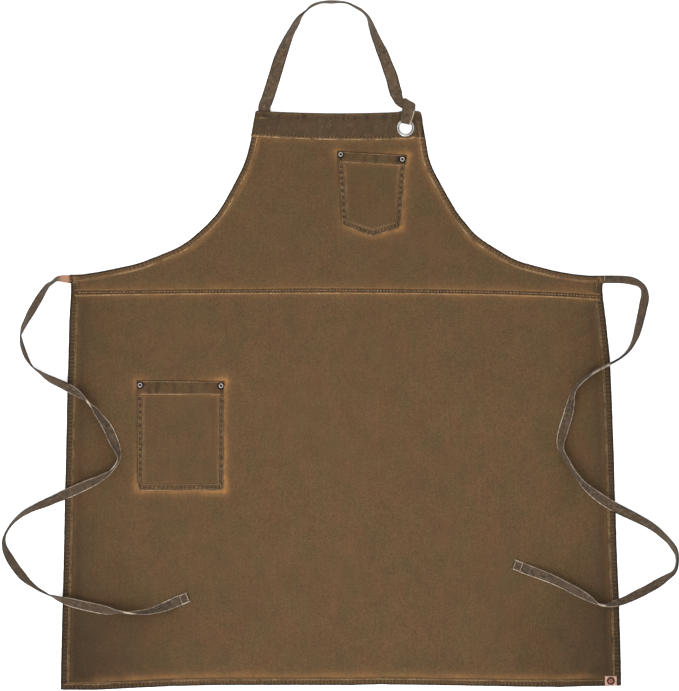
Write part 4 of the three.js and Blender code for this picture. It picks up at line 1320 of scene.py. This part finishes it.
def lathe(name, profile, x, y, material, body, segments=48, attributes=None):
    """A turned piece about a vertical axis from a closed or axis-to-axis profile of (radius, height)."""
    k = len(profile)
    angle = np.arange(segments) / segments * TAU
    rings = np.array([[(r * math.cos(a) + x, r * math.sin(a) + y, z) for r, z in profile] for a in angle])
    i, j = np.meshgrid(np.arange(segments), np.arange(k), indexing="ij")
    a, b = i * k + j, i * k + (j + 1) % k
    quads = np.stack([a, b, (b + k) % (segments * k), (a + k) % (segments * k)], -1).reshape(-1, 4)
    verts = rings.reshape(-1, 3)
    obj = build(name, verts, outward(verts, [quads]), material, attributes, sharp=38)
    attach(obj, body)
    return obj


def make_rivets(name, design, body):
    for side, (x, y) in zip(("left", "right"), design["rivets"]):
        z = 4.35
        profile = [
            (0.02, 2.0), (1.1, 2.0), (1.1, z - 0.1), (3.9, z), (4.2, z + 0.12), (4.2, z + 0.28),
            (3.9, z + 0.42), (3.5, z + 0.55), (3.15, z + 0.8), (2.8, z + 0.9), (2.4, z + 0.84), (2.1, z + 0.6),
            (1.95, z + 0.3), (1.6, z + 0.2), (1.1, z + 0.24), (0.9, z + 0.5),
            (0.7, z + 0.62), (0.3, z + 0.66), (0.02, z + 0.66),
        ]
        # near black on the cap's outer flank, a painted shade, and dark in its centre recess
        dark_rings = [1 if r > 3.4 or r < 2.05 else 0 for r, _ in profile]
        dark = {"dark": np.tile(dark_rings, 48)}
        rivet = lathe(f"{name}_rivet_{side}", profile, x, y, RIVET_METAL, body, attributes=dark)
        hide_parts(f"{name}_rivet_{side}")
        burr = [(1.5, 0.7), (3.6, 0.62), (4.0, 0.8), (4.0, 1.2), (3.7, 1.5), (1.5, 1.5)]
        back = lathe(f"{name}_burr_{side}", burr, x, y, COPPER, body)
        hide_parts(f"{name}_burr_{side}")


def make_eyelet():
    x, y = EYELET
    top = 4.0
    profile = [
        (10.0, 1.0), (10.5, 0.95), (10.6, 1.4), (10.6, 3.7), (11.2, 3.9), (12.6, 3.95), (13.3, 4.0),
        (13.5, top + 0.18), (13.4, top + 0.42), (13.0, top + 0.66), (12.3, top + 0.88),
        (11.5, top + 0.98), (10.9, top + 0.93),
        (10.4, top + 0.72), (10.1, top + 0.4), (10.0, top), (9.95, 3.0),
    ]
    # near black on the inner lip and on the flange's outer foot, where the metal turns away: painted shade;
    # patchy tarnish all over
    dark_rings = [1.2 if r < 10.95 or (r > 13.2 and h < top + 0.5) else 0.25 for r, h in profile]
    turn = np.arange(80) / 80 * TAU
    patchy = 0.7 + 0.55 * noise2(6 * np.cos(turn), 6 * np.sin(turn), 3.5, 181)
    dark = np.clip(np.outer(patchy, dark_rings) + 0.3 * np.clip(patchy - 0.7, 0, 1)[:, None], 0, 1)
    eyelet = lathe("eyelet", profile, x, y, NICKEL, "bib", segments=80, attributes={"dark": dark})
    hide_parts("eyelet")
    ring = [(10.9, 1.0), (13.2, 0.85), (13.9, 1.0), (14.0, 1.25), (13.7, 1.5), (10.9, 1.5)]
    washer = lathe("eyelet_washer", ring, x, y, NICKEL, "bib", segments=64)
    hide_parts("eyelet_washer")


def make_patch():
    x0, y0 = PATCH
    n, m = 27, 23
    u, v = np.meshgrid(np.linspace(-1, 1, n), np.linspace(-1, 1, m), indexing="ij")
    x = x0 + u * PATCH_HALF[0]
    y = y0 + v * PATCH_HALF[1]
    out = np.maximum(np.abs(u) * PATCH_HALF[0] - 1.75, np.abs(v) * PATCH_HALF[1])  # PATCH_HALF[1] at the edge
    lift = 0.75 * np.clip(1 - np.abs(u) ** 22, 0, 1) ** 0.6 * np.clip(1 - np.abs(v) ** 22, 0, 1) ** 0.6
    z = 3.25 + lift - 0.18 * bell(out, 6.1, 0.6) + 0.05 * noise2(x, y, 3, 171)
    front, back = np.stack([x, y, z], -1), np.stack([x, y, np.full(x.shape, 3.1)], -1)
    verts, faces = plate(front, back)
    dark = on_both(x.shape, dark=0.5 * smooth(out, 7.1, 7.5))
    patch = build("corner_patch", verts, faces, LEATHER, dark, sharp=50)
    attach(patch, "skirt")
    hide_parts("corner_patch")
    z = 4.05
    profile = [
        (0.02, 2.2), (1.1, 2.2), (1.1, z - 0.1), (5.9, z), (6.2, z + 0.2), (6.1, z + 0.42), (5.5, z + 0.6),
        (4.7, z + 0.5), (4.1, z + 0.3), (3.9, z + 0.34), (3.6, z + 0.6), (2.6, z + 0.82), (1.3, z + 0.9),
        (0.7, z + 0.8), (0.5, z + 0.6), (0.02, z + 0.55),
    ]
    dark_rings = [1 if r > 3.8 or r < 0.8 else 0 for r, _ in profile]
    dark = {"dark": np.tile(dark_rings, 48)}
    stud = lathe("corner_patch_stud", profile, x0, y0, COPPER, "skirt", attributes=dark)
    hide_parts("corner_patch_stud")
    a, b = 7.6, 5.9
    box = [(x0 - a, y0 - b), (x0 + a, y0 - b), (x0 + a, y0 + b), (x0 - a, y0 + b), (x0 - a, y0 - b)]
    stitches("corner_patch_stitches", [box], 4.0, 2.6, "skirt", seed=41)


def make_threads():
    w = resample(waist, 2.0)
    w = w[(w[:, 0] > -409) & (w[:, 0] < 399)]

    def over_side_hems(level):
        """A height that rises by 0.3 where the seam crosses the side hems."""
        return lambda x, y: level + 0.3 * smooth(np.abs(x + 5), 386, 394)

    thread_row("waist_thread_upper", [offset(w, 0.1)], over_side_hems(3.08), 4.9, "skirt", width=0.95, seed=51)
    low = offset(w, -3.6)
    thread_row("waist_thread_lower", [low], over_side_hems(3.42), 4.1, "skirt", width=0.6, length=0.7, seed=52)
    left = resample(np.array([(-418, 186)] + LEFT_SIDE[1:-1] + [(-434.1, -434)], float)[::-1], 2.0)
    thread_row("side_thread_left", [offset(left, -9.7)], 2.9, 3.3, "skirt", seed=53)
    right = resample(np.array([(408, 186)] + RIGHT_SIDE[1:-1] + [(433.6, -425)], float), 2.0)
    thread_row("side_thread_right", [offset(right, -9.7)], 2.9, 3.3, "skirt", seed=54)
    bottom = resample(np.array([(-424, -447.4), (0, -441.6), (407, -443.7)], float), 2.0)
    thread_row("bottom_thread", [offset(bottom, 8.0)], 3.0, 3.3, "skirt", seed=55)
    for side, arm, sign in (("left", left_arm, -1), ("right", right_arm, 1)):
        line = resample(arm, 2.0)
        line = line[(line[:, 1] < 404) & (np.abs(line[:, 0]) < 402)]
        row = stitches(f"armhole_thread_{side}", [offset(line, sign * 7.8)], 2.92, 3.3, None, seed=56)
        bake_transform(row)
        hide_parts(f"armhole_thread_{side}")
    x = np.linspace(-124, 84, 120)
    line = np.column_stack([x, top_y(x) - 9.0])
    thread_row("band_thread_upper", [line], 3.7, 3.3, "bib", material=DARK_THREAD, seed=57)
    x = np.linspace(-128, 118, 140)
    line = np.column_stack([x * 1.055, top_y(x) - 38.7 - 0.012 * x])
    thread_row("band_thread_lower", [line], 3.62, 3.3, "bib", seed=58)
    # dense bars of thread where the ties and the strap are sewn
    for sx, cx in ((-1, -412.5), (1, 402.5)):
        name = "left_tie_bartack" if sx < 0 else "right_tie_bartack"
        lines = [[(cx - 1.1 + 0.9 * i, 180.5), (cx - 1.1 + 0.9 * i, 191)] for i in range(3)]
        near, far = cx - sx * 3.2, cx + sx * 3.2
        lines += [[(near, 180.3), (far, 191)], [(near, 191), (far, 180.3)]]
        thread_row(name, lines, 3.25, 1.5, "skirt", width=0.7, seed=59)
    lines = [[(-126, 436 + 0.8 * i), (-112, 435.8 + 0.8 * i)] for i in range(3)]
    thread_row("neck_strap_bartack", lines, 3.85, 1.5, "bib", width=0.7, seed=60)


make_skirt()
make_bib()
felled_seam()
make_band()
make_pocket("bib_pocket", BIB_POCKET, "bib", 201)
make_pocket("hip_pocket", HIP_POCKET, "skirt", 231)
make_rivets("bib_pocket", BIB_POCKET, "bib")
make_rivets("hip_pocket", HIP_POCKET, "skirt")
make_eyelet()
make_patch()
make_threads()

# ---------------------------------------------------------------- stage


def make_stage():
    bpy.ops.mesh.primitive_plane_add(size=12, location=(0, 0, -0.0006))
    floor = bpy.context.object
    floor.name = "floor"
    s = Shader("floor")
    s.set(Base_Color=(0.96, 0.96, 0.96), Roughness=0.9, Specular_IOR_Level=0.1)
    floor.data.materials.append(s.material)
    world = bpy.data.worlds.new("studio")
    world.use_nodes = True
    world.node_tree.nodes["Background"].inputs["Color"].default_value = (1, 1, 1, 1)
    world.node_tree.nodes["Background"].inputs["Strength"].default_value = 1.85
    bpy.context.scene.world = world
    area_light("key", (-1.2, -2.4, 3.0), (0, 0, 0), 2.4, 90)
    bpy.context.scene.view_settings.view_transform = "Standard"
    bpy.context.scene.view_settings.look = "None"


make_stage()
